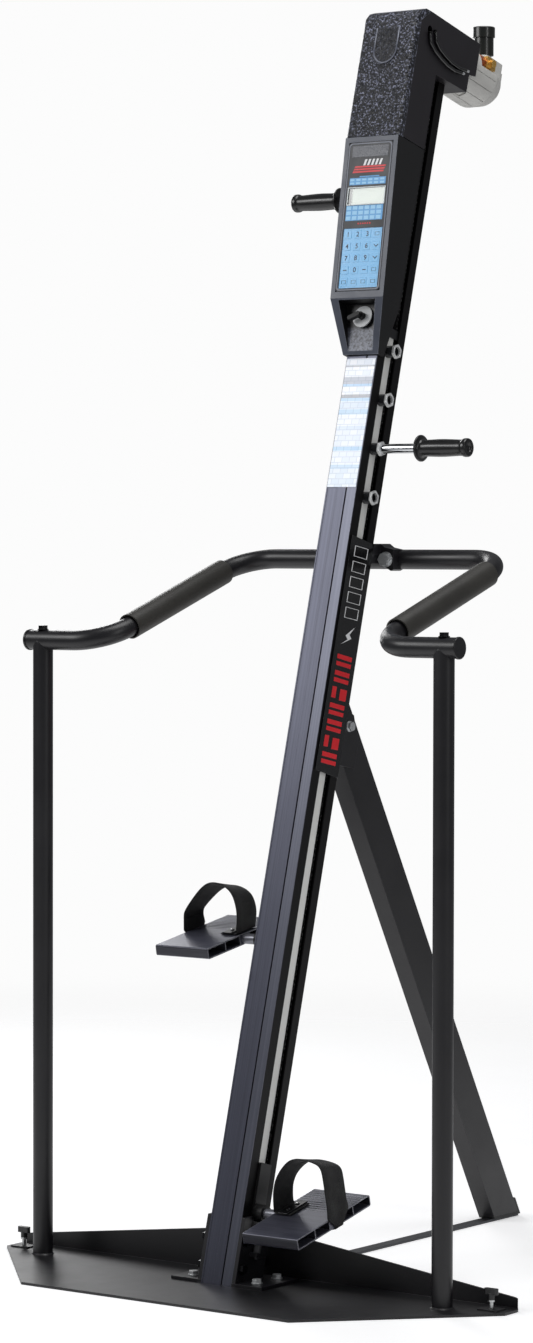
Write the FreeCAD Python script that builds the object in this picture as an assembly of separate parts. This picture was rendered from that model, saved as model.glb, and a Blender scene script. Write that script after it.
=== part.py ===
import FreeCAD, Part
import math
import os
from FreeCAD import Vector as V

# Vertical climber machine, millimetres. +X is the user's right, +Y points away from the
# user, +Z is up. The origin is on the floor, under the bottom of the column's front face.
# Most pieces are drawn square to the column, as (x, n, s): n runs from the column's front
# face to its rear face and s runs up along the column. lean() then tips them back.

# ---- driving dimensions ---------------------------------------------------------------
LEAN = 15.0                # column, degrees from vertical
STROKE = 508.0             # travel of each pedal along the column
S_REST = 147.0             # pedal shaft of the side that is at the bottom

SHEET = 5.0                # base plate
BASE_FRONT_Y = -191.0
BASE_FRONT_X = 305.0
BASE_WIDE_Y = 90.0
BASE_HALF = 575.0
BASE_REAR_Y = 147.0

COL_HALF = 35.0
COL_DEPTH = 83.0
COL_TOP = 2366.0
SLOT_N0 = 26.0
SLOT_N1 = 62.0
BAR_N = 41.5               # centre of the slide bars, in the middle of the column
BAR_X0 = 4.5
BAR_X1 = 28.5
BAR_W = 25.0
BAR_BOTTOM = 231.0
BAR_TOP = 1838.0

TUBE_R = 19.05             # rail and post tube
TUBE_WALL = 2.5
POST_X = 460.5
POST_Y = 61.0
RAIL_Z = 1183.5            # front run of the rail
RAIL_BACK_Y = 504.5
RAIL_BACK_Z = 1338.0
RAIL_SIDE_X = 309.0
RAIL_END_X = 490.0
RAIL_BEND = 78.0

STRUT_ANGLE = 29.7
STRUT_W = 38.0
STRUT_D = 76.0
STRUT_FRONT_Y = 914.7      # where the strut's front face would meet the floor
STRUT_TOP_Z = 1062.0
BAR_HALF = 12.7

PEDAL_X0 = 89.5
PEDAL_W = 123.0
PEDAL_L = 234.0
PEDAL_T = 21.0
TILT_RIGHT = 13.0
TILT_LEFT = 10.0
SHAFT_R = 10.0
JOURNAL_R = 7.5

HANDLE_S = 1614.5          # of the side that is at the bottom
HANDLE_R = 9.25
SOCKET_S = (1518.0, 1615.0, 1712.0, 1809.0)
GRIP_X0 = 138.0
GRIP_X1 = 250.0

HEAD_HALF = 61.5
HEAD_FRONT = -80.0
HEAD_SEAM = 2206.0
HEAD_TOP = 2472.0
HEAD_BACK = 12.5
FACE_N = -48.5             # lower end of the display face
FACE_S = 1903.0
FACE_TILT = 5.8
FACE_H = 302.0

CHAIN_R = 17.0             # pitch radius of both sprockets
CHAIN_N = 71.0
CHAIN_HALF = 3.0
SPROCKET_S = 2430.0
IDLER_S = 48.0

PUMP_R = 55.0


# ---- drawing helpers ------------------------------------------------------------------
def box(x0, x1, y0, y1, z0, z1):
    return Part.makeBox(x1 - x0, y1 - y0, z1 - z0, V(x0, y0, z0))


def cyl(p, axis, r, length):
    return Part.makeCylinder(r, length, V(*p), V(*axis))


def tube(p, axis, r_out, r_in, length):
    return cyl(p, axis, r_out, length).cut(cyl(p, axis, r_in, length))


def prism(points, step):
    """Polygon of 3-D points pushed along step."""
    wire = Part.makePolygon([V(*p) for p in points] + [V(*points[0])])
    return Part.Face(wire).extrude(V(*step))


def prism_x(points, x0, x1):
    return prism([(x0, a, b) for a, b in points], (x1 - x0, 0, 0))


def hexagon(p, axis, flats, height):
    """Hexagonal prism across flats, standing on p and pointing along axis."""
    r = flats / math.sqrt(3)
    pts = [V(r * math.cos(math.radians(60 * k)), r * math.sin(math.radians(60 * k)), 0)
           for k in range(7)]
    solid = Part.Face(Part.makePolygon(pts)).extrude(V(0, 0, height))
    turn = FreeCAD.Rotation(V(0, 0, 1), V(*axis))
    solid.Placement = FreeCAD.Placement(V(*p), turn)
    return solid


def fuse(shapes):
    return shapes[0].multiFuse(shapes[1:]).removeSplitter()


def cut(shape, tools):
    return shape.cut(tools).removeSplitter()


def turned(shape, degrees, centre=(0, 0, 0)):
    """Copy of shape turned about an X axis through centre."""
    copy = shape.copy()
    copy.rotate(V(*centre), V(1, 0, 0), degrees)
    return copy


def moved(shape, dx, dy, dz):
    copy = shape.copy()
    copy.translate(V(dx, dy, dz))
    return copy


def lean(shape):
    return turned(shape, -LEAN)


def mirrored(shape):
    return shape.mirror(V(0, 0, 0), V(1, 0, 0))


def on_face(shape):
    """From display-face coordinates (x, depth behind the face, height up it)."""
    return lean(moved(turned(shape, FACE_TILT), 0, FACE_N, FACE_S))


def bolt(p, axis, shank, d=10.0):
    """Hex bolt with a washer: p is where the washer sits, the shank runs along axis."""
    back = V(*axis).multiply(-1)
    washer = V(*p) + back * 2.0
    parts = [cyl(p, back, d * 1.05, 2.0)]
    parts.append(hexagon(washer, back, d * 1.6, d * 0.65))
    parts.append(cyl(p, axis, d / 2, shank))
    return fuse(parts)


def bent_path(points, radius):
    """Wire through the points, each corner rounded with a tangent arc."""
    pts = [V(*p) for p in points]
    edges = []
    start = pts[0]
    for before, corner, after in zip(pts, pts[1:], pts[2:]):
        d0 = (before - corner).normalize()
        d1 = (after - corner).normalize()
        half = d0.getAngle(d1) / 2
        trim = radius / math.tan(half)
        middle = corner + (d0 + d1).normalize() * (radius / math.sin(half) - radius)
        a = corner + d0 * trim
        b = corner + d1 * trim
        edges.append(Part.LineSegment(start, a).toShape())
        edges.append(Part.Arc(a, middle, b).toShape())
        start = b
    edges.append(Part.LineSegment(start, pts[-1]).toShape())
    return Part.Wire(edges)


def swept(points, bend, r):
    path = bent_path(points, bend)
    first = V(*points[0])
    ring = Part.Wire(Part.makeCircle(r, first, V(*points[1]) - first))
    return path.makePipeShell([ring], True, False)


# ---- base and frame -------------------------------------------------------------------
KNOB_X = 540.0
KNOB_Y = 100.0
STUD_R = 4.0
FOOT_BOLTS = ((73.0, 30.0), (73.0, 92.0))      # right side, mirrored for the left


def base_plate():
    outline = [(-BASE_FRONT_X, BASE_FRONT_Y, 0), (BASE_FRONT_X, BASE_FRONT_Y, 0),
               (BASE_HALF, BASE_WIDE_Y, 0), (BASE_HALF, BASE_REAR_Y, 0),
               (-BASE_HALF, BASE_REAR_Y, 0), (-BASE_HALF, BASE_WIDE_Y, 0)]
    floor = prism(outline, (0, 0, SHEET))
    rear = BASE_REAR_Y
    flange = prism([(-BASE_HALF, rear, 0), (BASE_HALF, rear, 0), (BASE_HALF, rear, 22),
                    (60, rear, 86), (-60, rear, 86), (-BASE_HALF, rear, 22)], (0, -SHEET, 0))
    plate = fuse([floor, flange])
    corners = [e for e in plate.Edges
               if abs(e.tangentAt(e.FirstParameter).z) > 0.99
               and abs(e.Vertexes[0].X) > BASE_HALF - 1 and e.Vertexes[0].Y > rear - 1]
    plate = plate.makeFillet(18, corners)
    tools = []
    for side in (-1, 1):
        pad = box(side * KNOB_X - 20, side * KNOB_X + 20, KNOB_Y - 16, KNOB_Y + 16,
                  SHEET, SHEET + 3)
        plate = plate.fuse(pad)
        tools.append(cyl((side * KNOB_X, KNOB_Y, -1), (0, 0, 1), STUD_R + 0.05, 12))
        for x, y in FOOT_BOLTS:
            tools.append(cyl((side * x, y, 1), (0, 0, 1), 5.0, 10))
    tools.append(cyl((0, rear - 10, 30), (0, 1, 0), 5.0, 20))
    return cut(plate, tools)


def floor_bar():
    bar = box(-BAR_HALF, BAR_HALF, BASE_REAR_Y, 1008, 0, SHEET)
    tab = box(-BAR_HALF, BAR_HALF, BASE_REAR_Y, BASE_REAR_Y + SHEET, 0, 48)
    hole = cyl((0, BASE_REAR_Y - 1, 30), (0, 1, 0), 5.0, 10)
    return cut(fuse([bar, tab]), [hole])


FOOT_X1 = COL_HALF + 8.0
SIDE_BOLTS = ((13.0, 92.0), (13.0, 40.0))      # (n, s) through the foot brackets
BUMPER_X = 51.0


def foot_bracket():
    upright = lean(box(COL_HALF, FOOT_X1, 0, COL_DEPTH, -40, 160))
    upright = upright.common(box(0, 100, -100, 200, SHEET, 128))
    foot = box(COL_HALF, 104, 2, 118, SHEET, SHEET + 6)
    ear = lean(box(FOOT_X1 - 1, 60, 30, 53, 66, 74))
    tools = [cyl((x, y, 0), (0, 0, 1), 5.0, 20) for x, y in FOOT_BOLTS]
    tools += [lean(cyl((COL_HALF - 1, n, s), (1, 0, 0), 5.0, 20)) for n, s in SIDE_BOLTS]
    tools.append(lean(cyl((BUMPER_X, BAR_N, 60), (0, 0, 1), 3.0, 20)))
    tools.append(lean(box(COL_HALF - 1, FOOT_X1 + 1, 22, 65, 104, 200)))   # room for the carriage
    return cut(fuse([upright, foot, ear]), tools)


def stop_bumper():
    rubber = cyl((BUMPER_X, BAR_N, 74), (0, 0, 1), 7.0, 55)
    stud = cyl((BUMPER_X, BAR_N, 62), (0, 0, 1), 3.0, 13)
    return lean(fuse([rubber, stud]))


def level_knob():
    stud = cyl((KNOB_X, KNOB_Y, 0.6), (0, 0, 1), STUD_R, 26)
    neck = cyl((KNOB_X, KNOB_Y, 20), (0, 0, 1), 6.5, 15)
    wing = box(KNOB_X - 14, KNOB_X + 14, KNOB_Y - 5, KNOB_Y + 5, 33, 44)
    ends = [e for e in wing.Edges if abs(e.tangentAt(e.FirstParameter).z) > 0.99]
    return fuse([stud, neck, wing.makeFillet(4.5, ends)])


def post():
    height = RAIL_Z - SHEET
    outer = cyl((POST_X, POST_Y, SHEET), (0, 0, 1), TUBE_R, height)
    weld = Part.makeCone(TUBE_R + 3, TUBE_R, 3, V(POST_X, POST_Y, SHEET), V(0, 0, 1))
    bore = cyl((POST_X, POST_Y, SHEET - 1), (0, 0, 1), TUBE_R - TUBE_WALL, height + 10)
    rail_run = cyl((POST_X - 60, POST_Y, RAIL_Z), (1, 0, 0), TUBE_R, 120)
    return cut(fuse([outer, weld]), [bore, rail_run])


RAIL_BOLT_X = 51.0
RAIL_BOLT_D = 14.0


def rail():
    corners = [(-RAIL_END_X, POST_Y, RAIL_Z), (-RAIL_SIDE_X, POST_Y, RAIL_Z),
               (-RAIL_SIDE_X, RAIL_BACK_Y, RAIL_BACK_Z), (RAIL_SIDE_X, RAIL_BACK_Y, RAIL_BACK_Z),
               (RAIL_SIDE_X, POST_Y, RAIL_Z), (RAIL_END_X, POST_Y, RAIL_Z)]
    outer = swept(corners, RAIL_BEND, TUBE_R)
    inner = swept(corners, RAIL_BEND, TUBE_R - TUBE_WALL)
    tools = [inner]
    for side in (-1, 1):
        tools.append(cyl((side * POST_X, POST_Y, RAIL_Z - 30), (0, 0, 1), 5.0, 60))
        tools.append(cyl((side * RAIL_BOLT_X, RAIL_BACK_Y - 40, RAIL_BACK_Z), (0, 1, 0),
                         RAIL_BOLT_D / 2, 80))
    return outer.cut(tools)


def rail_end_cap():
    disc = cyl((RAIL_END_X, POST_Y, RAIL_Z), (1, 0, 0), TUBE_R + 1.2, 5)
    disc = disc.makeFillet(2.0, [e for e in disc.Edges if e.BoundBox.XMin > RAIL_END_X + 4])
    plug = cyl((RAIL_END_X - 10, POST_Y, RAIL_Z), (1, 0, 0), TUBE_R - TUBE_WALL, 10)
    return fuse([disc, plug])


SLEEVE_R = 24.5


def rail_sleeve():
    front = V(RAIL_SIDE_X, POST_Y, RAIL_Z)
    back = V(RAIL_SIDE_X, RAIL_BACK_Y, RAIL_BACK_Z)
    along = (back - front).normalize()
    start = front + along * (RAIL_BEND + 1)
    length = (back - front).Length - 2 * RAIL_BEND - 2
    body = cyl(start, along, SLEEVE_R, length)
    bore = cyl(start, along, TUBE_R, length)
    mouth = cyl(start, along, SLEEVE_R - 2.5, 14)
    rear_mouth = cyl(start + along * (length - 14), along, SLEEVE_R - 2.5, 15)
    return cut(body, [bore, mouth, rear_mouth])


def column_rear_y(z):
    a = math.radians(LEAN)
    return (COL_DEPTH + z * math.sin(a)) / math.cos(a)


def rail_bracket():
    half = [(36, -8), (62, -22), (68, -19), (68, 19), (48, 23), (38, 30)]
    outline = half + [(-x, z) for x, z in reversed(half)]
    ears = prism([(x, 472, RAIL_BACK_Z + z) for x, z in outline], (0, RAIL_BACK_Y - 472, 0))
    z0 = RAIL_BACK_Z - 8
    z1 = RAIL_BACK_Z + 30
    foot = [(column_rear_y(z0), z0), (480, z0), (480, z1), (column_rear_y(z1), z1)]
    neck = prism_x(foot, -37, 37)
    tools = [cyl((-80, RAIL_BACK_Y, RAIL_BACK_Z), (1, 0, 0), TUBE_R, 160)]
    for side in (-1, 1):
        tools.append(cyl((side * RAIL_BOLT_X, 460, RAIL_BACK_Z), (0, 1, 0), RAIL_BOLT_D / 2, 60))
        tools.append(cyl((side * RAIL_BOLT_X, 400, RAIL_BACK_Z), (0, 1, 0), 17.0, 72))
    return cut(fuse([ears, neck]), tools)


def strut_box(grow, z0, z1):
    """The strut's tube between two heights, grown by grow on every side."""
    half = STRUT_W / 2 + grow
    a = math.radians(STRUT_ANGLE)
    front = STRUT_FRONT_Y - grow / math.cos(a)
    rear = STRUT_FRONT_Y + (STRUT_D + grow) / math.cos(a)
    k = math.tan(a)
    outline = [(front - z0 * k, z0), (rear - z0 * k, z0), (rear - z1 * k, z1), (front - z1 * k, z1)]
    return prism_x(outline, -half, half)


CHEEK_X1 = 24.0
SOLE = 6.0                 # thickness of the boot under the tube
HEEL = 7.0                 # and behind it
STRUT_BOLT = (112.0, 1086.0)                   # (n, s)


def strut():
    body = strut_box(0, SHEET + SOLE, STRUT_TOP_Z)
    bore = strut_box(-3, SHEET, STRUT_TOP_Z + 20)
    column_gap = lean(box(-60, 60, -200, COL_DEPTH + 7, 600, 1400))
    bolt_hole = lean(cyl((-40, STRUT_BOLT[0], STRUT_BOLT[1]), (1, 0, 0), 5.0, 80))
    return cut(body, [bore, column_gap, bolt_hole])


def strut_boot():
    """Sole under the tube, plug inside it and heel behind it."""
    sole = strut_box(0, SHEET, SHEET + SOLE)
    plug = strut_box(-3.2, SHEET, 30)
    heel = strut_box(0, SHEET, 40)
    heel.translate(V(0, HEEL, 0))
    return fuse([sole, plug, cut(heel, [strut_box(0, SHEET + SOLE, 60)])])


def strut_bracket():
    back = box(-CHEEK_X1, CHEEK_X1, COL_DEPTH, COL_DEPTH + 5, 1000, 1122)
    shape = [(COL_DEPTH + 4, 1006), (150, 1012), (150, 1060), (122, 1110), (COL_DEPTH + 4, 1118)]
    cheeks = [prism_x(shape, STRUT_W / 2, CHEEK_X1), prism_x(shape, -CHEEK_X1, -STRUT_W / 2)]
    bolt_hole = cyl((-40, STRUT_BOLT[0], STRUT_BOLT[1]), (1, 0, 0), 5.0, 80)
    return lean(cut(fuse([back] + cheeks), [bolt_hole]))


def frame_bolts():
    down = (0, 0, -1)
    bolts = []
    for x, y in FOOT_BOLTS:
        bolts.append(bolt((x, y, SHEET + 6), down, 9.5))
    for n, s in SIDE_BOLTS:
        bolts.append(lean(bolt((FOOT_X1, n, s), (-1, 0, 0), 12)))
    bolts.append(bolt((POST_X, POST_Y, RAIL_Z + TUBE_R), down, 60))
    bolts.append(bolt((RAIL_BOLT_X, 472, RAIL_BACK_Z), (0, 1, 0), 62, RAIL_BOLT_D))
    bolts += [mirrored(b) for b in bolts]
    bolts.append(lean(bolt((CHEEK_X1, STRUT_BOLT[0], STRUT_BOLT[1]), (-1, 0, 0), 58)))
    bolts.append(bolt((0, BASE_REAR_Y - SHEET, 30), (0, 1, 0), 20))
    bolts.append(lean(bolt((0, COL_DEPTH, IDLER_S), (0, -1, 0), 20, 8.0)))
    return Part.makeCompound(bolts)


# ---- column ---------------------------------------------------------------------------
def column():
    body = box(-COL_HALF, COL_HALF, 0, COL_DEPTH, -60, COL_TOP)
    tools = []
    for side in (-1, 1):
        x0, x1 = sorted((side * 2, side * 32))
        cavity = box(x0, x1, 4, COL_DEPTH - 3, -70, COL_TOP + 10)
        x0, x1 = sorted((side * 2, side * 8))
        tools.append(cavity.cut(box(x0, x1, 65, 67, -70, COL_TOP + 10)))
        x0, x1 = sorted((side * 31, side * 36))
        tools.append(box(x0, x1, SLOT_N0, SLOT_N1, -70, COL_TOP + 10))
    tools.append(box(-10, 10, 60, COL_DEPTH - 3, -70, 84))           # room for the idler
    tools.append(box(-10, 10, 4, COL_DEPTH - 3, 2332, COL_TOP + 10))  # and for the chain
    tools.append(box(10.5, 13.5, -1, 2, -70, COL_TOP + 10))          # grooves of the front face
    tools.append(box(-32, -8.5, -1, 0.8, -70, COL_TOP + 10))
    for n, s in SIDE_BOLTS:
        tools.append(cyl((-50, n, s), (1, 0, 0), 5.0, 100))
    tools.append(cyl((0, 70, IDLER_S), (0, 1, 0), 4.0, 20))
    return cut(lean(cut(body, tools)), [box(-60, 60, -200, 200, -200, SHEET)])


def side_cover():
    outline = [(7, 979), (82, 979), (82, 1428), (74, 1436), (7, 1436)]
    return lean(prism_x(outline, COL_HALF, COL_HALF + 2.5))


def label_plate():
    return lean(box(-33.5, 33.5, -0.6, 0, 1528, 1784))


# ---- moving sides: one slide bar with what is fixed to it, drawn at the bottom ---------
def slide_bar():
    n0 = BAR_N - BAR_W / 2
    n1 = BAR_N + BAR_W / 2
    body = box(BAR_X0, BAR_X1, n0, n1, BAR_BOTTOM, BAR_TOP)
    bore = box(BAR_X0 + 3, BAR_X1 - 3, n0 + 3, n1 - 3, BAR_BOTTOM - 1, BAR_TOP + 1)
    holes = [cyl((BAR_X0 + 6, BAR_N, s), (1, 0, 0), 11.0, 30) for s in SOCKET_S]
    return cut(body, [bore] + holes)


BOSS_L = 18.0              # blackened boss of a socket, and the bright nut on it
NUT_L = 5.0


def socket(s):
    neck = cyl((BAR_X0 + 6, BAR_N, s), (1, 0, 0), 11.0, 30)
    boss = cyl((BAR_X1, BAR_N, s), (1, 0, 0), 11.8, BOSS_L)
    nut = hexagon((BAR_X1 + BOSS_L, BAR_N, s), (1, 0, 0), 25.0, NUT_L)
    bore = cyl((0, BAR_N, s), (1, 0, 0), HANDLE_R + 0.05, 80)
    return cut(fuse([neck, boss, nut]), [bore])


def sockets():
    return Part.makeCompound([socket(s) for s in SOCKET_S])


def chain_cheeks(s0, s1):
    """The two plates that hold the chain between them, behind the bar."""
    n1 = CHAIN_N + 5
    inner = box(10.5, 13.5, 62, n1, s0, s1)
    outer = box(20.5, 23.5, 62, n1, s0, s1)
    return [inner, outer]


def top_shoe():
    block = box(4, 31.5, 10, 64, BAR_TOP, BAR_TOP + 18)
    spigot = box(BAR_X0 + 3, BAR_X1 - 3, BAR_N - 9.5, BAR_N + 9.5, BAR_TOP - 10, BAR_TOP + 1)
    return fuse([block, spigot] + chain_cheeks(BAR_TOP, BAR_TOP + 18))


HUB_R = 16.5


def carriage():
    bottom = S_REST - 37
    inside = box(4, 31.5, 10, 64, bottom, BAR_BOTTOM)
    outside = box(30, 40, 27.5, 60.5, bottom, BAR_BOTTOM + 8)
    spigot = box(BAR_X0 + 3, BAR_X1 - 3, BAR_N - 9.5, BAR_N + 9.5, BAR_BOTTOM - 1, BAR_BOTTOM + 40)
    hub = cyl((38, BAR_N, S_REST), (1, 0, 0), HUB_R, 20)
    body = fuse([inside, outside, spigot, hub] + chain_cheeks(bottom + 20, BAR_BOTTOM))
    bar_room = box(0, BAR_X1 + 0.3, 20, 63, BAR_BOTTOM, BAR_BOTTOM + 60).cut(spigot)
    return cut(body, [bar_room, cyl((12, BAR_N, S_REST), (1, 0, 0), SHAFT_R, 80)])


def pedal_shaft():
    rod = cyl((12, BAR_N, S_REST), (1, 0, 0), SHAFT_R, PEDAL_X0 - 0.5 - 12)
    journal = cyl((80, BAR_N, S_REST), (1, 0, 0), JOURNAL_R, PEDAL_X0 + PEDAL_W - 8 - 80)
    return fuse([rod, journal])


# Pedals are drawn flat about their shaft as (x, along, up) and then tipped toe-up.
def on_pedal(shape, tilt):
    placed = moved(turned(shape, tilt + LEAN), 0, BAR_N, S_REST)
    return lean(placed)


def pedal():
    half = PEDAL_L / 2
    top = PEDAL_T / 2
    x1 = PEDAL_X0 + PEDAL_W
    body = box(PEDAL_X0, x1, -half, half, -top, top)
    long_edges = [e for e in body.Edges if abs(e.tangentAt(e.FirstParameter).x) > 0.99]
    body = body.makeFillet(4.0, long_edges)
    wall = 2.2
    cells = [(-half + wall, -62), (-60, -16), (16, 60), (62, half - wall)]
    tools = [box(PEDAL_X0 - 1, x1 + 1, a, b, -top + wall, top - wall) for a, b in cells]
    tools.append(cyl((PEDAL_X0 - 1, 0, 0), (1, 0, 0), JOURNAL_R + 0.05, PEDAL_W - 7))
    tools.append(box(PEDAL_X0 - 1, x1 + 1, 17, 18.5, top - 0.8, top + 1))
    for k in range(9):
        y = 26 + 9.5 * k
        tools.append(box(PEDAL_X0 - 1, x1 + 1, y, y + 3.0, top - 0.9, top + 1))
    return cut(body, tools)


STRAP_T = 2.6
STRAP_Y0 = -20.0
STRAP_Y1 = 42.0
# The arch between the two legs: (x, up). The raised side's strap is the flatter one.
ARCH_RIGHT = [(214.8, 86), (203, 105), (168, 110), (142, 103), (108, 72)]
ARCH_LEFT = [(214.8, 40), (163, 87), (135, 98), (108, 92)]


def strap(arch):
    """Webbing arch as a band of constant thickness: (x, up) of its centre line."""
    top = PEDAL_T / 2 + STRAP_T / 2 + 0.5
    x1 = PEDAL_X0 + PEDAL_W
    side = x1 + STRAP_T / 2 + 0.8
    path = [(x1 - 44, -top), (side, -top)] + arch + [(92.5, top), (132, top)]
    centre = bent_path([(x, 0, z) for x, z in path], 3.0)
    x0 = x1 - 44
    section = [V(x0, STRAP_Y0, -top - STRAP_T / 2), V(x0, STRAP_Y1, -top - STRAP_T / 2),
               V(x0, STRAP_Y1, -top + STRAP_T / 2), V(x0, STRAP_Y0, -top + STRAP_T / 2)]
    return centre.makePipeShell([Part.makePolygon(section + [section[0]])], True, False)


def strap_clamps():
    top = PEDAL_T / 2 + STRAP_T + 0.6
    x1 = PEDAL_X0 + PEDAL_W
    y_mid = (STRAP_Y0 + STRAP_Y1) / 2
    upper = box(104, 124, STRAP_Y0 - 2, STRAP_Y1 + 2, top, top + 2.5)
    lower = box(x1 - 40, x1 - 18, STRAP_Y0 - 2, STRAP_Y1 + 2, -top - 2.5, -top)
    plates = []
    for plate, x, z0, way in ((upper, 114, top + 2.5, 1), (lower, x1 - 29, -top - 2.5, -1)):
        for y in (y_mid - 15, y_mid + 15):
            head = cyl((x, y, z0), (0, 0, way), 4.0, 2.0)
            plate = plate.fuse(head)
        plates.append(plate.removeSplitter())
    return Part.makeCompound(plates)


def handle_shaft():
    rod = cyl((BAR_X0 + 4, BAR_N, HANDLE_S + 0.5), (1, 0, 0), HANDLE_R, GRIP_X1 - 8 - BAR_X0 - 4)
    return rod.makeChamfer(1.0, [rod.Edges[0], rod.Edges[2]])


def grip():
    profile = [(GRIP_X0, 0), (GRIP_X0, 23), (GRIP_X0 + 1.5, 25.5), (GRIP_X0 + 4, 25.5),
               (GRIP_X0 + 6, 20), (GRIP_X0 + 10, 15.8), (GRIP_X0 + 50, 17),
               (GRIP_X1 - 20, 15.6), (GRIP_X1 - 14, 15.6), (GRIP_X1 - 10, 17.8),
               (GRIP_X1 - 3, 17.8), (GRIP_X1, 15), (GRIP_X1, 8), (GRIP_X1 - 4, 7),
               (GRIP_X1 - 4, 0)]
    pts = [V(x, r, 0) for x, r in profile]
    face = Part.Face(Part.makePolygon(pts + [pts[0]]))
    body = face.revolve(V(0, 0, 0), V(1, 0, 0), 360)
    body = moved(body, 0, BAR_N, HANDLE_S + 0.5)
    return cut(body, [cyl((0, BAR_N, HANDLE_S + 0.5), (1, 0, 0), HANDLE_R, GRIP_X1 - 8)])


# ---- chain drive ----------------------------------------------------------------------
def stadium(r, n0, n1):
    runs = box(-r, r, n0, n1, IDLER_S, SPROCKET_S)
    ends = [cyl((0, n0, s), (0, 1, 0), r, n1 - n0) for s in (IDLER_S, SPROCKET_S)]
    return fuse([runs] + ends)


def chain():
    n0 = CHAIN_N - CHAIN_HALF
    n1 = CHAIN_N + CHAIN_HALF
    outer = stadium(CHAIN_R + CHAIN_HALF, n0, n1)
    return lean(outer.cut(stadium(CHAIN_R - CHAIN_HALF, n0, n1)))


def toothed_wheel(s, bore):
    r = CHAIN_R - CHAIN_HALF - 0.4
    wheel = cyl((0, CHAIN_N - 2, s), (0, 1, 0), r, 4)
    gaps = []
    for k in range(11):
        a = 2 * math.pi * k / 11
        p = (r * math.cos(a), CHAIN_N - 3, s + r * math.sin(a))
        gaps.append(cyl(p, (0, 1, 0), 2.0, 6))
    hub = cyl((0, CHAIN_N - 4, s), (0, 1, 0), 8.0, 8)
    wheel = fuse([wheel.cut(gaps), hub])
    if bore:
        wheel = wheel.cut(cyl((0, CHAIN_N - 10, s), (0, 1, 0), bore, 20))
    return wheel


MOUNT_N = 119.0
PUMP_FACE = 125.0


def sprocket():
    shaft = cyl((0, CHAIN_N, SPROCKET_S), (0, 1, 0), 6.0, PUMP_FACE + 20 - CHAIN_N)
    return lean(fuse([toothed_wheel(SPROCKET_S, 0), shaft]))


def idler():
    return lean(toothed_wheel(IDLER_S, 4.05))


# ---- head -----------------------------------------------------------------------------
SHELL_T = 2.5
SHELL_FRONT = -62.0
ARM_END = 144.0


def head_shell():
    front = SHELL_FRONT
    side = [(front, HEAD_SEAM + 1), (HEAD_BACK, HEAD_SEAM + 1), (HEAD_BACK, COL_TOP - 6),
            (121, COL_TOP - 2), (121, 2400), (ARM_END, 2405), (ARM_END, HEAD_TOP),
            (-34, HEAD_TOP), (front, HEAD_TOP - 28)]
    outer = prism_x(side, -HEAD_HALF, HEAD_HALF)
    inner = box(-HEAD_HALF + SHELL_T, HEAD_HALF - SHELL_T, -200, 300, 2000, HEAD_TOP - SHELL_T)
    nose = box(-HEAD_HALF + SHELL_T, HEAD_HALF - SHELL_T, -200, -34.5, 2000, HEAD_TOP + 10)
    cable_hole = cyl((HEAD_HALF - 5, CABLE_HOLE[0], CABLE_HOLE[1]), (1, 0, 0), 8.0, 10)
    return lean(cut(outer, [inner, nose, cable_hole]))


def head_cover():
    """Grained plastic hood: front wall, rounded top and short returns at both sides."""
    n0 = HEAD_FRONT
    s1 = HEAD_TOP
    side = [(n0, HEAD_SEAM), (SHELL_FRONT - 0.2, HEAD_SEAM), (SHELL_FRONT - 0.2, s1 - 28),
            (-34.2, s1), (-52, s1 - 1), (-66, s1 - 9), (-76, s1 - 24), (n0, s1 - 46)]
    body = prism_x(side, -HEAD_HALF, HEAD_HALF)
    upright = [e for e in body.Edges
               if len(e.Vertexes) == 2 and all(abs(v.Y - n0) < 0.01 for v in e.Vertexes)
               and abs(e.tangentAt(e.FirstParameter).z) > 0.99]
    body = body.makeFillet(7.0, upright)
    hollow = [(n0 + 3, HEAD_SEAM - 1), (0, HEAD_SEAM - 1), (0, s1 - 3.5), (-54, s1 - 4),
              (-64, s1 - 11), (-73, s1 - 26), (n0 + 3, s1 - 47)]
    inner = prism_x(hollow, -HEAD_HALF + 3, HEAD_HALF - 3)
    badge = [V(-26, n0 - 1.2, 2452), V(-26, n0 - 1.2, 2380), V(0, n0 - 1.2, 2354),
             V(26, n0 - 1.2, 2380), V(26, n0 - 1.2, 2452)]
    arc = Part.Arc(badge[1], badge[2], badge[3]).toShape()
    edges = [Part.LineSegment(badge[0], badge[1]).toShape(), arc,
             Part.LineSegment(badge[3], badge[4]).toShape(),
             Part.LineSegment(badge[4], badge[0]).toShape()]
    raised = Part.Face(Part.Wire(edges)).extrude(V(0, 3, 0))
    raised = raised.common(box(-60, 60, n0 - 2, n0 + 3, 2300, s1 - 46))
    return lean(fuse([cut(body, [inner]), raised]))


PANEL_HALF = 51.5
PANEL_T = 3.0


def ring_at(half, front, back, s):
    corners = [V(-half, front, s), V(half, front, s), V(half, back, s), V(-half, back, s)]
    return Part.makePolygon(corners + [corners[0]])


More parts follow.
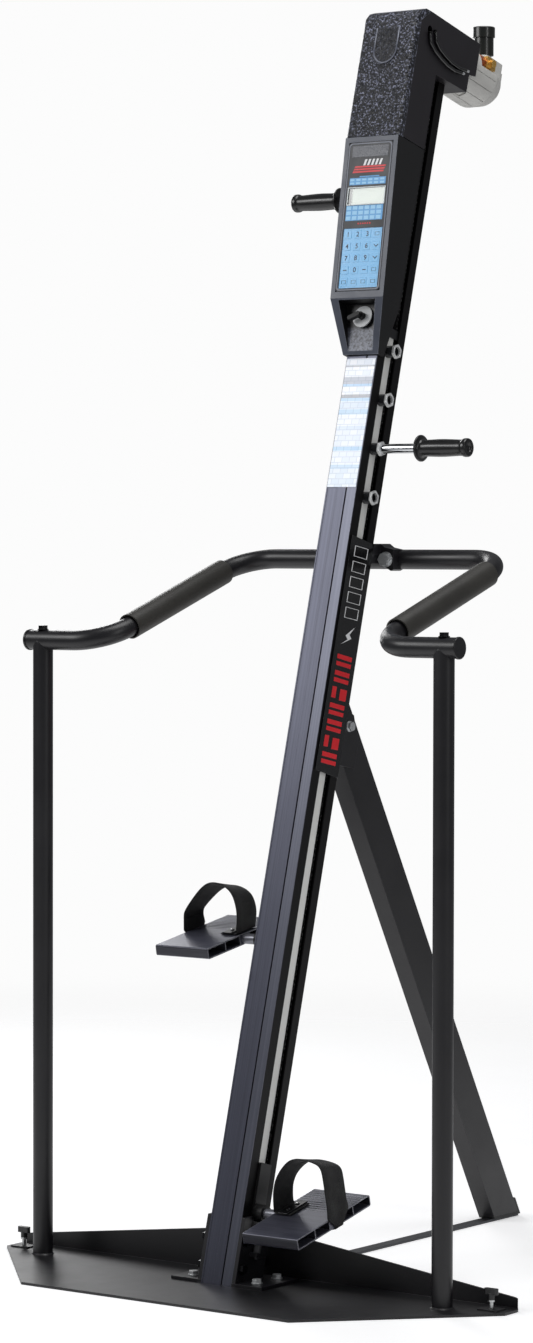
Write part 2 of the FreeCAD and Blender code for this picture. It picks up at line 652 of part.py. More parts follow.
def console_housing():
    top_front = FACE_N - (HEAD_SEAM - 1 - FACE_S) * math.tan(math.radians(FACE_TILT))
    knee = FACE_S - 12
    knee_front = FACE_N + 12 * math.tan(math.radians(FACE_TILT))
    low = 1790.0
    back = HEAD_BACK
    outer = Part.makeLoft([ring_at(HEAD_HALF, top_front, back, HEAD_SEAM - 1),
                           ring_at(HEAD_HALF, knee_front, back, knee),
                           ring_at(41, -6, back, low)], True, True)
    wall = 3.0
    hollow = Part.makeLoft([ring_at(HEAD_HALF - wall, top_front + 6, 60, HEAD_SEAM + 10),
                            ring_at(HEAD_HALF - wall, knee_front + 6, 60, knee + 4)],
                           True, True)
    column_room = box(-COL_HALF - 0.5, COL_HALF + 0.5, 0, 60, low - 10, HEAD_SEAM + 20)
    pocket = [V(-43, knee_front - 20, knee - 3), V(43, knee_front - 20, knee - 3),
              V(28, knee_front - 20, low + 5), V(-28, knee_front - 20, low + 5)]
    pocket = Part.Face(Part.makePolygon(pocket + [pocket[0]])).extrude(V(0, 90, 0))
    behind = prism_x([(-16, knee + 20), (90, knee + 20), (90, low - 20), (-7, low - 20)], -90, 90)
    decks = [box(-HEAD_HALF + 1, HEAD_HALF - 1, n, 0, s, s + 4) for n, s in ((-20, 1955), (-30, 2160))]
    body = cut(outer, [hollow, column_room, pocket.cut(behind)])
    lean_body = lean(fuse([body] + decks))
    recess = on_face(box(-PANEL_HALF - 0.3, PANEL_HALF + 0.3, -20, PANEL_T + 0.2, 0.5, 293.5))
    window = on_face(box(-PANEL_HALF + 8, PANEL_HALF - 8, -1, 30, 10, 284))
    return cut(lean_body, [recess, window])


def rounded_plate(x0, x1, d0, d1, t0, t1, r):
    plate = box(x0, x1, d0, d1, t0, t1)
    edges = [e for e in plate.Edges if abs(e.tangentAt(e.FirstParameter).y) > 0.99]
    return plate.makeFillet(r, edges)


LCD = (-42.0, 42.0, 171.0, 203.0)
KEYS = (-45.0, 45.0, 7.0, 124.0)


def console_panel():
    plate = rounded_plate(-PANEL_HALF, PANEL_HALF, 0, PANEL_T, 1, 293, 8)
    lcd_gap = box(LCD[0], LCD[1], -1, 10, LCD[2], LCD[3])
    key_gap = box(KEYS[0], KEYS[1], -1, 10, KEYS[2], KEYS[3])
    return on_face(cut(plate, [lcd_gap, key_gap]))


def lcd_window():
    return on_face(box(LCD[0], LCD[1], 0.8, 3.0, LCD[2], LCD[3]))


def keypad():
    sheet = box(KEYS[0], KEYS[1], 0.6, 3.0, KEYS[2], KEYS[3])
    domes = []
    for row in range(5):
        for column_k in range(4):
            x = KEYS[0] + 11 + column_k * 22.6
            t = KEYS[2] + 12 + row * 23.2
            domes.append(box(x - 8, x + 8, 0.2, 1, t - 7.5, t + 7.5))
    return on_face(fuse([sheet] + domes))


def circuit_board():
    board = box(-40, 40, 12, 13.6, 20, 270)
    chips = [box(-20, 10, 13, 17, 60, 100), box(-30, -12, 13, 20, 140, 170),
             box(8, 30, 13, 18, 180, 215)]
    posts = [cyl((x, 3.0, t), (0, 1, 0), 3.0, 9.5) for x in (-34, 34) for t in (150, 262)]
    return on_face(fuse([board] + chips + posts))


DISC_S = 1862.0
DISC_N = -16.6


def switch_disc():
    disc = tube((0, DISC_N, DISC_S), (0, -1, 0), 21.5, 7.05, 2.4)
    return lean(turned(disc, -5.2, (0, DISC_N, DISC_S)))


def toggle_knob():
    stem = cyl((0, DISC_N + 1.0, DISC_S), (0, -1, 0), 7.0, 13)
    lever = box(-24, 4, DISC_N - 20, DISC_N - 11, DISC_S - 4.5, DISC_S + 4.5)
    ends = [e for e in lever.Edges if abs(e.tangentAt(e.FirstParameter).y) > 0.99]
    lever = lever.makeFillet(4.0, ends)
    lever.rotate(V(0, DISC_N, DISC_S), V(0, 1, 0), -25)
    return lean(turned(fuse([stem, lever]), -5.2, (0, DISC_N, DISC_S)))


# ---- resistance unit and its leads ----------------------------------------------------
CABLE_HOLE = (-30.0, 2436.0)


def pump_mount():
    half = HEAD_HALF - SHELL_T
    floor = box(-half, half, 5, PUMP_FACE, COL_TOP, COL_TOP + 5)
    wall = box(-half, half, MOUNT_N, PUMP_FACE, COL_TOP, HEAD_TOP - SHELL_T)
    tools = [box(-26, 26, 58, 84, COL_TOP - 1, COL_TOP + 6),
             cyl((0, MOUNT_N - 1, SPROCKET_S), (0, 1, 0), 9.0, 10)]
    return lean(cut(fuse([floor, wall]), tools))


CAP_Y = 884.0


PUMP_DRUM = 103.0          # straight stretch of the drum
TURRET_TOP = 2484.0
FITTING_S = 2438.0         # floor of the recess for the fittings


def round_the_drum(shape, degrees):
    copy = shape.copy()
    copy.rotate(V(0, 0, SPROCKET_S), V(0, 1, 0), degrees)
    return copy


def pump_body():
    """Cast drum with a domed rear end and a turret for the capped valve."""
    rear = PUMP_FACE + PUMP_DRUM
    drum = cyl((0, PUMP_FACE, SPROCKET_S), (0, 1, 0), PUMP_R, PUMP_DRUM)
    shoulder = Part.makeCone(PUMP_R, 39, 38, V(0, rear, SPROCKET_S), V(0, 1, 0))
    dome = Part.makeCone(39, 20, 24, V(0, rear + 38, SPROCKET_S), V(0, 1, 0))
    body = fuse([drum, shoulder, dome])
    body = body.common(box(-70, 70, 0, 400, SPROCKET_S - PUMP_R, HEAD_TOP - SHELL_T - 0.5))
    turret = box(-23, 23, rear - 4, rear + 62, SPROCKET_S, TURRET_TOP)
    turret = turret.makeFillet(9.0, [e for e in turret.Edges
                                     if abs(e.tangentAt(e.FirstParameter).z) > 0.99])
    block = box(-13, 13, rear + 55, rear + 74, 2440, 2472)
    recess = box(24, 90, PUMP_FACE + 45, rear + 70, FITTING_S, 2500)
    bore = cyl((0, PUMP_FACE - 1, SPROCKET_S), (0, 1, 0), 6.05, 22)
    rib = box(-0.8, 0.8, PUMP_FACE + 10, rear - 3, SPROCKET_S - PUMP_R - 1, SPROCKET_S - PUMP_R + 1.4)
    grooves = [round_the_drum(rib, -turn) for turn in (8, 34, 60, 84)]
    window = box(-9, 9, PUMP_FACE + 12, PUMP_FACE + 44, SPROCKET_S - PUMP_R - 1, SPROCKET_S - 52)
    tools = [bore, recess, round_the_drum(window, -21)] + grooves
    port = cyl((0, CAP_Y, 2300), (0, 0, 1), 15, 41.5)
    stem = cyl((0, CAP_Y, 2320), (0, 0, 1), 5.05, 40)
    return cut(fuse([lean(cut(fuse([body, turret, block]), tools)), port]), [stem])


def pump_knob():
    skirt = cyl((0, CAP_Y, 2342), (0, 0, 1), 19.6, 34.5)
    cap = cyl((0, CAP_Y, 2378.5), (0, 0, 1), 22.3, 21)
    neck = cyl((0, CAP_Y, 2370), (0, 0, 1), 18, 12)
    stem = cyl((0, CAP_Y, 2321), (0, 0, 1), 5, 30)
    cap = cap.makeFillet(2.5, [e for e in cap.Edges if e.BoundBox.ZMin > 2399])
    return fuse([skirt, cap, neck, stem])


def pump_fittings():
    """Copper pipe nut and brass elbow on the unit's right shoulder."""
    nut = hexagon((36, 176, 2456), (0, 1, 0), 18.0, 19)
    foot = cyl((36, 210, FITTING_S), (0, 0, 1), 7.0, 12)
    elbow = fuse([foot, box(25, 48, 195.2, 226, 2446, 2468), cyl((48, 211, 2457), (1, 0, 0), 8.0, 6)])
    return lean(Part.makeCompound([nut, elbow]))


CABLE_R = 3.4
CABLE_X = HEAD_HALF + CABLE_R + 0.2
CABLE_A = [(-33, 2426), (-27, 2411), (-9, 2401), (14, 2394), (39, 2389), (66, 2388), (90, 2392)]
CABLE_B = [(-16, 2436), (-10, 2421), (5, 2411), (27, 2404), (52, 2399), (79, 2398), (104, 2402)]


def cable(route):
    points = [(CABLE_X, n, s) for n, s in route]
    solid = swept(points, 14.0, CABLE_R)
    print("cable length", round(bent_path(points, 14.0).Length, 1), "volume ratio",
          round(solid.Volume / (math.pi * CABLE_R ** 2 * bent_path(points, 14.0).Length), 4))
    return solid


def cables():
    return lean(Part.makeCompound([cable(CABLE_A), cable(CABLE_B)]))


def cable_ferrules():
    """Crimped metal ends of the two leads."""
    parts = []
    for route in (CABLE_A, CABLE_B):
        (n0, s0), (n1, s1) = route[-2:]
        way = V(0, n1 - n0, s1 - s0).normalize()
        parts.append(cyl((CABLE_X, n1, s1), way, 2.5, 9))
        (n0, s0), (n1, s1) = route[:2]
        way = V(0, n0 - n1, s0 - s1).normalize()
        parts.append(cyl((CABLE_X, n0, s0), way, 3.4, 5))
    return lean(Part.makeCompound(parts))


# ---- every node, in build order -------------------------------------------------------
def both(shape, lift=STROKE):
    """The right side at the bottom and its mirror image raised by the whole stroke."""
    return lean(shape), lean(moved(mirrored(shape), 0, 0, lift))


def pedal_pair(shape):
    right = on_pedal(shape, TILT_RIGHT)
    left = on_pedal(mirrored(shape), TILT_LEFT)
    rise = V(0, math.sin(math.radians(LEAN)), math.cos(math.radians(LEAN))) * STROKE
    left.translate(rise)
    return right, left


nodes = {}
nodes["base_plate"] = base_plate()
nodes["floor_bar"] = floor_bar()
nodes["foot_bracket_right"] = foot_bracket()
nodes["foot_bracket_left"] = mirrored(foot_bracket())
nodes["frame_bolts"] = frame_bolts()
nodes["stop_bumpers"] = Part.makeCompound([stop_bumper(), mirrored(stop_bumper())])
nodes["level_knob_right"] = level_knob()
nodes["level_knob_left"] = mirrored(level_knob())
nodes["post_right"] = post()
nodes["post_left"] = mirrored(post())
nodes["rail"] = rail()
nodes["rail_end_caps"] = Part.makeCompound([rail_end_cap(), mirrored(rail_end_cap())])
nodes["rail_sleeve_right"] = rail_sleeve()
nodes["rail_sleeve_left"] = mirrored(rail_sleeve())
nodes["rail_bracket"] = rail_bracket()
nodes["strut"] = strut()
nodes["strut_boot"] = strut_boot()
nodes["strut_bracket"] = strut_bracket()
nodes["column"] = column()
nodes["side_cover_right"] = side_cover()
nodes["side_cover_left"] = mirrored(side_cover())
nodes["label_plate"] = label_plate()

for name, make in (("slide_bar", slide_bar), ("sockets", sockets), ("top_shoe", top_shoe),
                   ("carriage", carriage), ("pedal_shaft", pedal_shaft),
                   ("handle_shaft", handle_shaft), ("grip", grip)):
    nodes[name + "_right"], nodes[name + "_left"] = both(make())
for name, make in (("pedal", pedal), ("strap_clamps", strap_clamps)):
    nodes[name + "_right"], nodes[name + "_left"] = pedal_pair(make())

nodes["strap_right"], _ = pedal_pair(strap(ARCH_RIGHT))
_, nodes["strap_left"] = pedal_pair(strap(ARCH_LEFT))
nodes["chain"] = chain()
nodes["sprocket"] = sprocket()
nodes["idler"] = idler()
nodes["head_shell"] = head_shell()
nodes["head_cover"] = head_cover()
nodes["console_housing"] = console_housing()
nodes["console_panel"] = console_panel()
nodes["lcd_window"] = lcd_window()
nodes["keypad"] = keypad()
nodes["circuit_board"] = circuit_board()
nodes["switch_disc"] = switch_disc()
nodes["toggle_knob"] = toggle_knob()
nodes["pump_mount"] = pump_mount()
nodes["pump_body"] = pump_body()
nodes["pump_knob"] = pump_knob()
nodes["pump_fittings"] = pump_fittings()
nodes["cables"] = cables()
nodes["cable_ferrules"] = cable_ferrules()

os.makedirs("parts", exist_ok=True)
for name, shape in nodes.items():
    shape.exportStep("parts/" + name + ".step")
    b = shape.BoundBox
    print(f"{name:20s} solids {len(shape.Solids)} valid {shape.isValid()} "
          f"vol {shape.Volume / 1000:9.1f} cm3  x {b.XMin:.0f}..{b.XMax:.0f} "
          f"y {b.YMin:.0f}..{b.YMax:.0f} z {b.ZMin:.1f}..{b.ZMax:.1f}")
print(len(nodes), "nodes")
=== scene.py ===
import math

import bpy
from mathutils import Matrix, Vector


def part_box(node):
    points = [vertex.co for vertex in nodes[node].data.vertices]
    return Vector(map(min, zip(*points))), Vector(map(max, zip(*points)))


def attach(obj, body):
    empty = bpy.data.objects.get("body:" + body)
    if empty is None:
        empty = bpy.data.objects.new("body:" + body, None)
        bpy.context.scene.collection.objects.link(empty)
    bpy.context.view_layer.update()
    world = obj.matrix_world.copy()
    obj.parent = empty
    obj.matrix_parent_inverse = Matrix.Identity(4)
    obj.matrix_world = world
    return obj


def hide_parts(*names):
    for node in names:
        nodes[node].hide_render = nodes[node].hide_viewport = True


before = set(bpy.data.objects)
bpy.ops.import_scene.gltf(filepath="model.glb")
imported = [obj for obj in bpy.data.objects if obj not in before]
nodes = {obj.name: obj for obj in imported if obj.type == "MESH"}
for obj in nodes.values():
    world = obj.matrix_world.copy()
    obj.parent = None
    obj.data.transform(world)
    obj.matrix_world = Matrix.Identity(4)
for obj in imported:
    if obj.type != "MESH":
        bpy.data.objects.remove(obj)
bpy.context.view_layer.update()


# ---- base plate and floor bar --------------------
# A folded 5 mm steel sheet with a tapered rear flange, powder coated satin black after
# bending. A flat steel bar bolted to the flange runs back over the floor to the strut.
def linear(hex_colour):
    """An sRGB hex colour as linear RGBA."""
    parts = [int(hex_colour[i:i + 2], 16) / 255 for i in (0, 2, 4)]
    return tuple(c / 12.92 if c < 0.04045 else ((c + 0.055) / 1.055) ** 2.4 for c in parts) + (1,)


def add(mat, kind, settings=None, **links):
    """One node: settings are its options, links its inputs, each a value, a node or a socket."""
    made = mat.node_tree.nodes.new("ShaderNode" + kind)
    for key, value in (settings or {}).items():
        setattr(made, key, value)
    for key, value in links.items():
        name = key.replace("_", " ")
        socket = made.inputs[int(key[2:])] if key[2:].isdigit() else made.inputs[name]
        if isinstance(value, bpy.types.Node):
            value = value.outputs[2 if value.bl_idname == "ShaderNodeMix" else 0]
        if isinstance(value, bpy.types.NodeSocket):
            mat.node_tree.links.new(value, socket)
        else:
            socket.default_value = value
    return made


def finish(name, dark, light, worn_and_highlight, rough, grain_mm, depth_mm, metallic=0.0, coat=0.0,
           ior=1.5, round_mm=0.9, patch_mm=90.0, wear_and_highlight=0.6):
    """A made surface: two tones in soft patches, fine relief and edges rubbed to worn, where a bright
    worn colour with strong wear also draws a painted edge highlight.
    """
    mat = bpy.data.materials.new(name)
    mat.use_nodes = True
    mat.node_tree.nodes.clear()
    place = add(mat, "TexCoord").outputs["Object"]
    patches = add(mat, "TexNoise", Vector=place, Scale=1000 / patch_mm, Detail=5.0, Roughness=0.6)
    tone = add(mat, "Mix", {"data_type": "RGBA"}, in0=patches, in6=linear(dark), in7=linear(light))
    rounded = add(mat, "Bevel", {"samples": 4}, Radius=round_mm / 1000)
    facing = add(mat, "NewGeometry").outputs["Normal"]
    corner = add(mat, "VectorMath", {"operation": "DOT_PRODUCT"}, in0=rounded, in1=facing)
    edge = add(mat, "MapRange", Value=corner.outputs["Value"], From_Min=0.99, From_Max=0.80,
               To_Min=0.0, To_Max=wear_and_highlight)
    rubbed_and_highlight = add(mat, "Math", {"operation": "MULTIPLY"}, in0=edge, in1=patches)
    colour = add(mat, "Mix", {"data_type": "RGBA"}, in0=rubbed_and_highlight, in6=tone, in7=linear(worn_and_highlight))
    gloss = add(mat, "MapRange", Value=patches, From_Min=0.3, From_Max=0.7,
                To_Min=rough * 0.86, To_Max=min(1.0, rough * 1.14))
    grain = add(mat, "TexNoise", Vector=place, Scale=1000 / grain_mm, Detail=2.0)
    relief = add(mat, "Bump", Height=grain, Strength=1.0, Distance=depth_mm / 1000, Normal=rounded)
    shader = add(mat, "BsdfPrincipled", Base_Color=colour, Roughness=gloss, Normal=relief,
                 Metallic=metallic, Coat_Weight=coat)
    if metallic == 0.0:
        shader.inputs["IOR"].default_value = ior
    add(mat, "OutputMaterial", Surface=shader)
    return mat, shader, place, colour, relief


def feed(shader, socket, node):
    """Links a node to a socket of the shader, in place of what was there."""
    source = node.outputs[2 if node.bl_idname == "ShaderNodeMix" else 0]
    shader.id_data.links.new(source, shader.inputs[socket])


def give(mat, *names):
    """The CAD nodes take this material on their objects, not on their meshes."""
    for name in names:
        for place in nodes[name].material_slots:
            place.link = "OBJECT"
            place.material = mat


# Powder coat: soft satin with faint orange peel of about 2.5 mm, drawn at 5 mm to show.
base_powder, *_ = finish("base_sheet_powder_coat", "0c0b0e", "18171b", "56555c", 0.42, 5.0, 0.06,
                         patch_mm=160.0)
give(base_powder, "base_plate")
# Bare flat bar with mill scale: dull mid grey.
scale_steel, *_ = finish("flat_bar_mill_scale", "3c3d40", "55565a", "8a8b8e", 0.5, 3.0, 0.08,
                         metallic=0.7)
give(scale_steel, "floor_bar")


# ---- levelling knobs, foot brackets, bolts and bumpers ----
# The knobs are black phenolic T-heads moulded on zinc plated studs. The brackets are bent
# steel, powder coated. The bolts are zinc plated hex bolts, the bumpers grey rubber.
STUD_TOP = 0.0235            # metres above the floor, where the moulded head begins
knob_black, shader, place, colour, _ = finish("phenolic_knob", "0d0d0f", "19191c", "4a4b50", 0.33,
                                              3.0, 0.05)
height = add(knob_black, "SeparateXYZ", Vector=place)
stud = add(knob_black, "Math", {"operation": "LESS_THAN"}, in0=height.outputs["Z"], in1=STUD_TOP)
stud_colour = add(knob_black, "Mix", {"data_type": "RGBA"}, in0=stud, in6=colour,
                  in7=linear("b9babb"))
feed(shader, "Base Color", stud_colour)
feed(shader, "Metallic", stud)
give(knob_black, "level_knob_right", "level_knob_left")
powder, *_ = finish("satin_black_powder_coat", "0f0e12", "19181d", "55555c", 0.40, 4.0, 0.05)
give(powder, "foot_bracket_right", "foot_bracket_left")


def zinc_plate(name):
    """Bright zinc plate: clear bluish metal with slight cloudiness."""
    return finish(name, "b4b6b8", "d8dadb", "f2f3f3", 0.30, 2.0, 0.03, metallic=0.65, patch_mm=14.0)


# The screws on top of the posts and those through the foot of the column are black, the
# others zinc plated.
FOOT_HALF = 0.06             # limits in metres, across and above the floor
FOOT_TOP = 0.13
POST_TOPS = 1.19
POSTS_FROM = 0.4
FLOOR_NUTS = 0.022
frame_zinc, shader, place, colour, _ = zinc_plate("zinc_and_black_bolts")
where = add(frame_zinc, "SeparateXYZ", Vector=place)
side_way = add(frame_zinc, "Math", {"operation": "ABSOLUTE"}, in0=where.outputs["X"])
near, low, under_tops, inboard, on_floor = [
    add(frame_zinc, "Math", {"operation": "LESS_THAN"}, in0=value, in1=limit)
    for value, limit in ((side_way, FOOT_HALF), (where.outputs["Z"], FOOT_TOP),
                         (where.outputs["Z"], POST_TOPS), (side_way, POSTS_FROM),
                         (where.outputs["Z"], FLOOR_NUTS))]
by_foot = add(frame_zinc, "Math", {"operation": "MULTIPLY"}, in0=near, in1=low)
not_top = add(frame_zinc, "Math", {"operation": "MAXIMUM"}, in0=under_tops, in1=inboard)
plated = add(frame_zinc, "Math", {"operation": "SUBTRACT"}, in0=not_top, in1=by_foot)
shiny = add(frame_zinc, "Math", {"operation": "MAXIMUM"}, in0=plated, in1=on_floor)
bolt_colour = add(frame_zinc, "Mix", {"data_type": "RGBA"}, in0=shiny, in6=linear("131316"),
                  in7=colour)
feed(shader, "Base Color", bolt_colour)
give(frame_zinc, "frame_bolts")
bumper_rubber, *_ = finish("grey_rubber", "3a3a3c", "4c4c4f", "6a6a6c", 0.6, 2.5, 0.08)
give(bumper_rubber, "stop_bumpers")


# ---- posts, rail, sleeves and caps ---------------
# Round steel tube, the rail bent on a mandrel, all powder coated. Thick vinyl sleeves are
# slid over the slanting runs for the hands, and moulded caps close the open tube ends.
tube_powder, *_ = finish("tube_powder_coat", "0e0d11", "17161a", "4d4d54", 0.38, 4.0, 0.04,
                         patch_mm=120.0)
give(tube_powder, "post_right", "post_left", "rail", "rail_bracket")
# Vinyl skin of the sleeves: warm dark grey, satin, with faint lengthwise drawing marks.
sleeve_vinyl, *_ = finish("vinyl_sleeve", "2b2a27", "393733", "55524c", 0.46, 6.0, 0.10,
                          patch_mm=60.0)
give(sleeve_vinyl, "rail_sleeve_right", "rail_sleeve_left")
moulded_black, *_ = finish("moulded_black_plastic", "0e0e10", "17171a", "3c3d42", 0.36, 2.0, 0.04)
give(moulded_black, "rail_end_caps")


# ---- strut ---------------------------------------
# Rectangular steel tube from the floor to the back of the column, powder coated, standing
# in a moulded rubber boot and bolted between two bent cheeks at the top.
strut_powder, *_ = finish("strut_powder_coat", "111013", "1b1a1d", "505056", 0.42, 4.0, 0.05)
give(strut_powder, "strut", "strut_bracket")
rubber, *_ = finish("black_rubber", "0c0c0d", "161617", "2c2c2e", 0.55, 2.5, 0.08)
give(rubber, "strut_boot")


# ---- column --------------------------------------
# Extruded aluminium with a slot down each side, anodised black on the flanks. The front face is
# painted satin blue grey, lighter than the flanks as painted reflection, with a shallow recess at the
# left and a narrow dark groove.
LEAN = 15.0


def column_space(mat, place):
    """Object coordinates turned upright: x across, y behind the front face, z along it."""
    return add(mat, "Mapping", Vector=place, Rotation=(math.radians(LEAN), 0, 0))


def steps(ramp, tones):
    """Hard steps of (position, colour) on a colour ramp."""
    ramp.interpolation = "CONSTANT"
    for k, (at, tone) in enumerate(tones):
        stop = ramp.elements[k] if k < 2 else ramp.elements.new(at)
        stop.position = at
        stop.color = linear(tone)


FACE_HALF = 0.035            # metres
FACE_DEPTH = 0.0016          # the front face and its recess lie ahead of this
LAND_PAINTED_LIGHT = ((0.0, "dcdce2"), (0.66, "ffffff"))
# The blue grey tones here are the front face's painted reflection on the black metal.
anodised, shader, place, colour, _ = finish("anodised_aluminium_column", "50525d", "5c5e6a",
                                            "9a9ca6", 0.36, 3.0, 0.02, metallic=0.6,
                                            patch_mm=220.0, wear_and_highlight=0.8)
upright = column_space(anodised, place)
across = add(anodised, "SeparateXYZ", Vector=upright)
# Die lines run the whole length, about 1 mm apart, drawn at 3 mm to show.
stretched = add(anodised, "Mapping", Vector=upright, Scale=(330.0, 330.0, 1.2))
die_lines = add(anodised, "TexNoise", Vector=stretched, Scale=1.0, Detail=2.0)
lined = add(anodised, "Mix", {"data_type": "RGBA", "blend_type": "OVERLAY"}, in0=0.35, in6=colour,
            in7=die_lines)
# The land on the right lies at a slightly different angle, so it is painted lighter than the left one
# as painted light.
share = add(anodised, "MapRange", Value=across.outputs["X"], From_Min=-FACE_HALF,
            From_Max=FACE_HALF)
lands_painted_light = add(anodised, "ValToRGB", Fac=share)
steps(lands_painted_light.color_ramp, LAND_PAINTED_LIGHT)
front_with_painted_light = add(anodised, "Mix", {"data_type": "RGBA", "blend_type": "MULTIPLY"}, in0=1.0, in6=lined,
             in7=lands_painted_light)
behind = add(anodised, "Math", {"operation": "GREATER_THAN"}, in0=across.outputs["Y"],
             in1=FACE_DEPTH)
# Painted reflection: the front face keeps the lighter blue grey, the flanks behind it are black.
painted_front_and_black_flanks = add(anodised, "Mix", {"data_type": "RGBA"}, in0=behind, in6=front_with_painted_light, in7=linear("0b0a0c"))
feed(shader, "Base Color", painted_front_and_black_flanks)
matt = add(anodised, "MapRange", Value=behind, To_Min=0.36, To_Max=0.5)
feed(shader, "Roughness", matt)
give(anodised, "column")


# ---- printed side covers -------------------------
# Thin gloss black plates screwed over the slots behind the rail, screen printed with
# plain ladder rungs: outlined in white above, filled in red below.
def lean_point(x, n, s):
    """Column coordinates in millimetres to metres in the frame."""
    a = math.radians(LEAN)
    return Vector((x, n * math.cos(a) + s * math.sin(a), s * math.cos(a) - n * math.sin(a))) / 1000


def mesh_piece(name, points, faces, mat, body, smooth=False, mirrored=False):
    """A visible mesh that rides on a body. The faces of a mirrored one are turned round."""
    mesh = bpy.data.meshes.new(name)
    if mirrored:
        faces = [face[::-1] for face in faces]
    mesh.from_pydata([tuple(p) for p in points], [], faces)
    mesh.validate()
    mesh.materials.append(mat)
    if smooth:
        mesh.shade_smooth()
    piece = bpy.data.objects.new(name, mesh)
    bpy.context.scene.collection.objects.link(piece)
    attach(piece, body)
    return piece


def slab(outlines, to_point, low, high):
    """Flat outlines of (a, b) made into thin closed solids between two levels."""
    points, faces = [], []
    for outline in outlines:
        start, count = len(points), len(outline)
        points += [to_point(a, b, level) for level in (low, high) for a, b in outline]
        faces.append(tuple(range(start + count - 1, start - 1, -1)))
        faces.append(tuple(range(start + count, start + 2 * count)))
        for k in range(count):
            k1 = (k + 1) % count
            faces.append((start + k, start + k1, start + count + k1, start + count + k))
    return points, faces


gloss_black, *_ = finish("gloss_black_cover", "070708", "101012", "3a3a3e", 0.22, 6.0, 0.03, coat=0.3)
give(gloss_black, "side_cover_right", "side_cover_left")
# Screen ink: even colour, slightly matt, thin at its edges.
red_ink, *_ = finish("red_screen_ink", "c8141f", "e0202b", "e8434b", 0.42, 1.5, 0.02, patch_mm=25.0)
white_ink, *_ = finish("white_screen_ink", "d9dadc", "f2f2f3", "ffffff", 0.42, 1.5, 0.02,
                       patch_mm=25.0)
INK_LOW = 0.02               # millimetres off the cover
INK_HIGH = 0.25
COVER_X = 37.5
RED_FROM = 996.0             # along the column
RED_PITCH = 31.5
WHITE_FROM = 1278.0
WHITE_PITCH = 30.0


def rung(s, n0, n1, thick, skew):
    """One rung of the ladder across the cover, rising by skew towards the back."""
    return [(n0, s), (n1, s + skew), (n1, s + skew + thick), (n0, s + thick)]


def frame_strips(outline, w):
    """A four cornered outline drawn as four strips of width w."""
    middle = sum((Vector(p) for p in outline), Vector((0, 0))) / 4
    inner = [Vector(p) + (middle - Vector(p)).normalized() * w * 1.5 for p in outline]
    return [[outline[k], outline[(k + 1) % 4], tuple(inner[(k + 1) % 4]), tuple(inner[k])]
            for k in range(4)]


for side, name in ((1, "right"), (-1, "left")):
    def on_cover(n, s, level, side=side):
        return lean_point(side * (COVER_X + level), n, s)
    filled = []
    for k in range(7):
        s = RED_FROM + k * RED_PITCH
        if k % 3 == 1:
            filled += [rung(s, 20, 34, 22, 1.5), rung(s, 46, 68, 22, 2)]
        else:
            filled += [rung(s, 20, 68, 8, 3), rung(s + 13, 20, 68, 9, 3)]
    points, faces = slab(filled, on_cover, INK_LOW, INK_HIGH)
    mesh_piece("cover_rungs_red_" + name, points, faces, red_ink, "frame",
               mirrored=side < 0)
    outlined = []
    for k in range(5):
        outlined += frame_strips(rung(WHITE_FROM + k * WHITE_PITCH, 22, 66, 21, 4), 1.6)
    outlined.append([(24, 1226), (44, 1240), (36, 1246), (62, 1268), (48, 1250), (56, 1244)])
    points, faces = slab(outlined, on_cover, INK_LOW, INK_HIGH)
    mesh_piece("cover_rungs_white_" + name, points, faces, white_ink, "frame",
               mirrored=side < 0)


# ---- printed label on the front ------------------
# A laminated paper chart stuck across the column: pale rows ruled in blue, no lettering.
LABEL_LOW = 1.528            # metres along the column
LABEL_HIGH = 1.784
label_print, shader, place, *_ = finish("laminated_paper_label", "dfe3ea", "eff1f6", "ffffff", 0.24,
                                        12.0, 0.06, coat=0.4, patch_mm=40.0, wear_and_highlight=0.2)
upright = add(label_print, "SeparateXYZ", Vector=column_space(label_print, place))
share = add(label_print, "MapRange", Value=upright.outputs["Z"], From_Min=LABEL_LOW,
            From_Max=LABEL_HIGH)
rows = add(label_print, "ValToRGB", Fac=share)
ROW_TONES = ((0.00, "dde6f0"), (0.14, "b9d4ea"), (0.17, "e6ecf5"), (0.28, "9fc9e8"),
             (0.31, "e2e8f2"), (0.44, "d3dfee"), (0.47, "eef1f7"), (0.56, "b3d3ec"),
             (0.60, "d5e1ef"), (0.665, "a8cdea"), (0.69, "8e9099"), (0.715, "eef0f5"),
             (0.78, "9cc4e6"), (0.80, "a3a9b8"), (0.855, "f2f4f9"), (0.93, "8f919d"),
             (0.945, "d9dde6"))
steps(rows.color_ramp, ROW_TONES)
flat = add(label_print, "CombineXYZ", X=upright.outputs["X"], Y=upright.outputs["Z"], Z=0.0)
# Columns 17 mm wide and rows 11 mm high, as on a printed chart.
cells = add(label_print, "TexBrick", Vector=flat, Scale=1.0, Color1=linear("ffffff"),
            Color2=linear("dce8f4"), Mortar=linear("c3cfdd"), Mortar_Size=0.0008,
            Brick_Width=0.0172, Row_Height=0.0108)
chart = add(label_print, "Mix", {"data_type": "RGBA", "blend_type": "MULTIPLY"}, in0=0.75,
            in6=rows, in7=cells)
feed(shader, "Base Color", chart)
give(label_print, "label_plate")


# ---- slide bars, sockets and carriages -----------
# Each side is one square aluminium tube, extruded and left in its satin mill finish. Its
# four sockets are zinc plated, the shoe and carriage are moulded and cast black.
mill_bar, *_ = finish("mill_finish_aluminium", "dededa", "efefec", "f8f8f5", 0.34, 2.0, 0.03,
                      metallic=0.15, patch_mm=70.0)
give(mill_bar, "slide_bar_right", "slide_bar_left")
BOSS_OUT = 0.0464            # metres across, where the boss ends and the nut begins
dark_zinc, shader, place, colour, _ = finish("plated_socket", "e2e4e5", "f6f6f6", "fcfcfc", 0.26,
                                             2.0, 0.03, metallic=0.5, patch_mm=12.0)
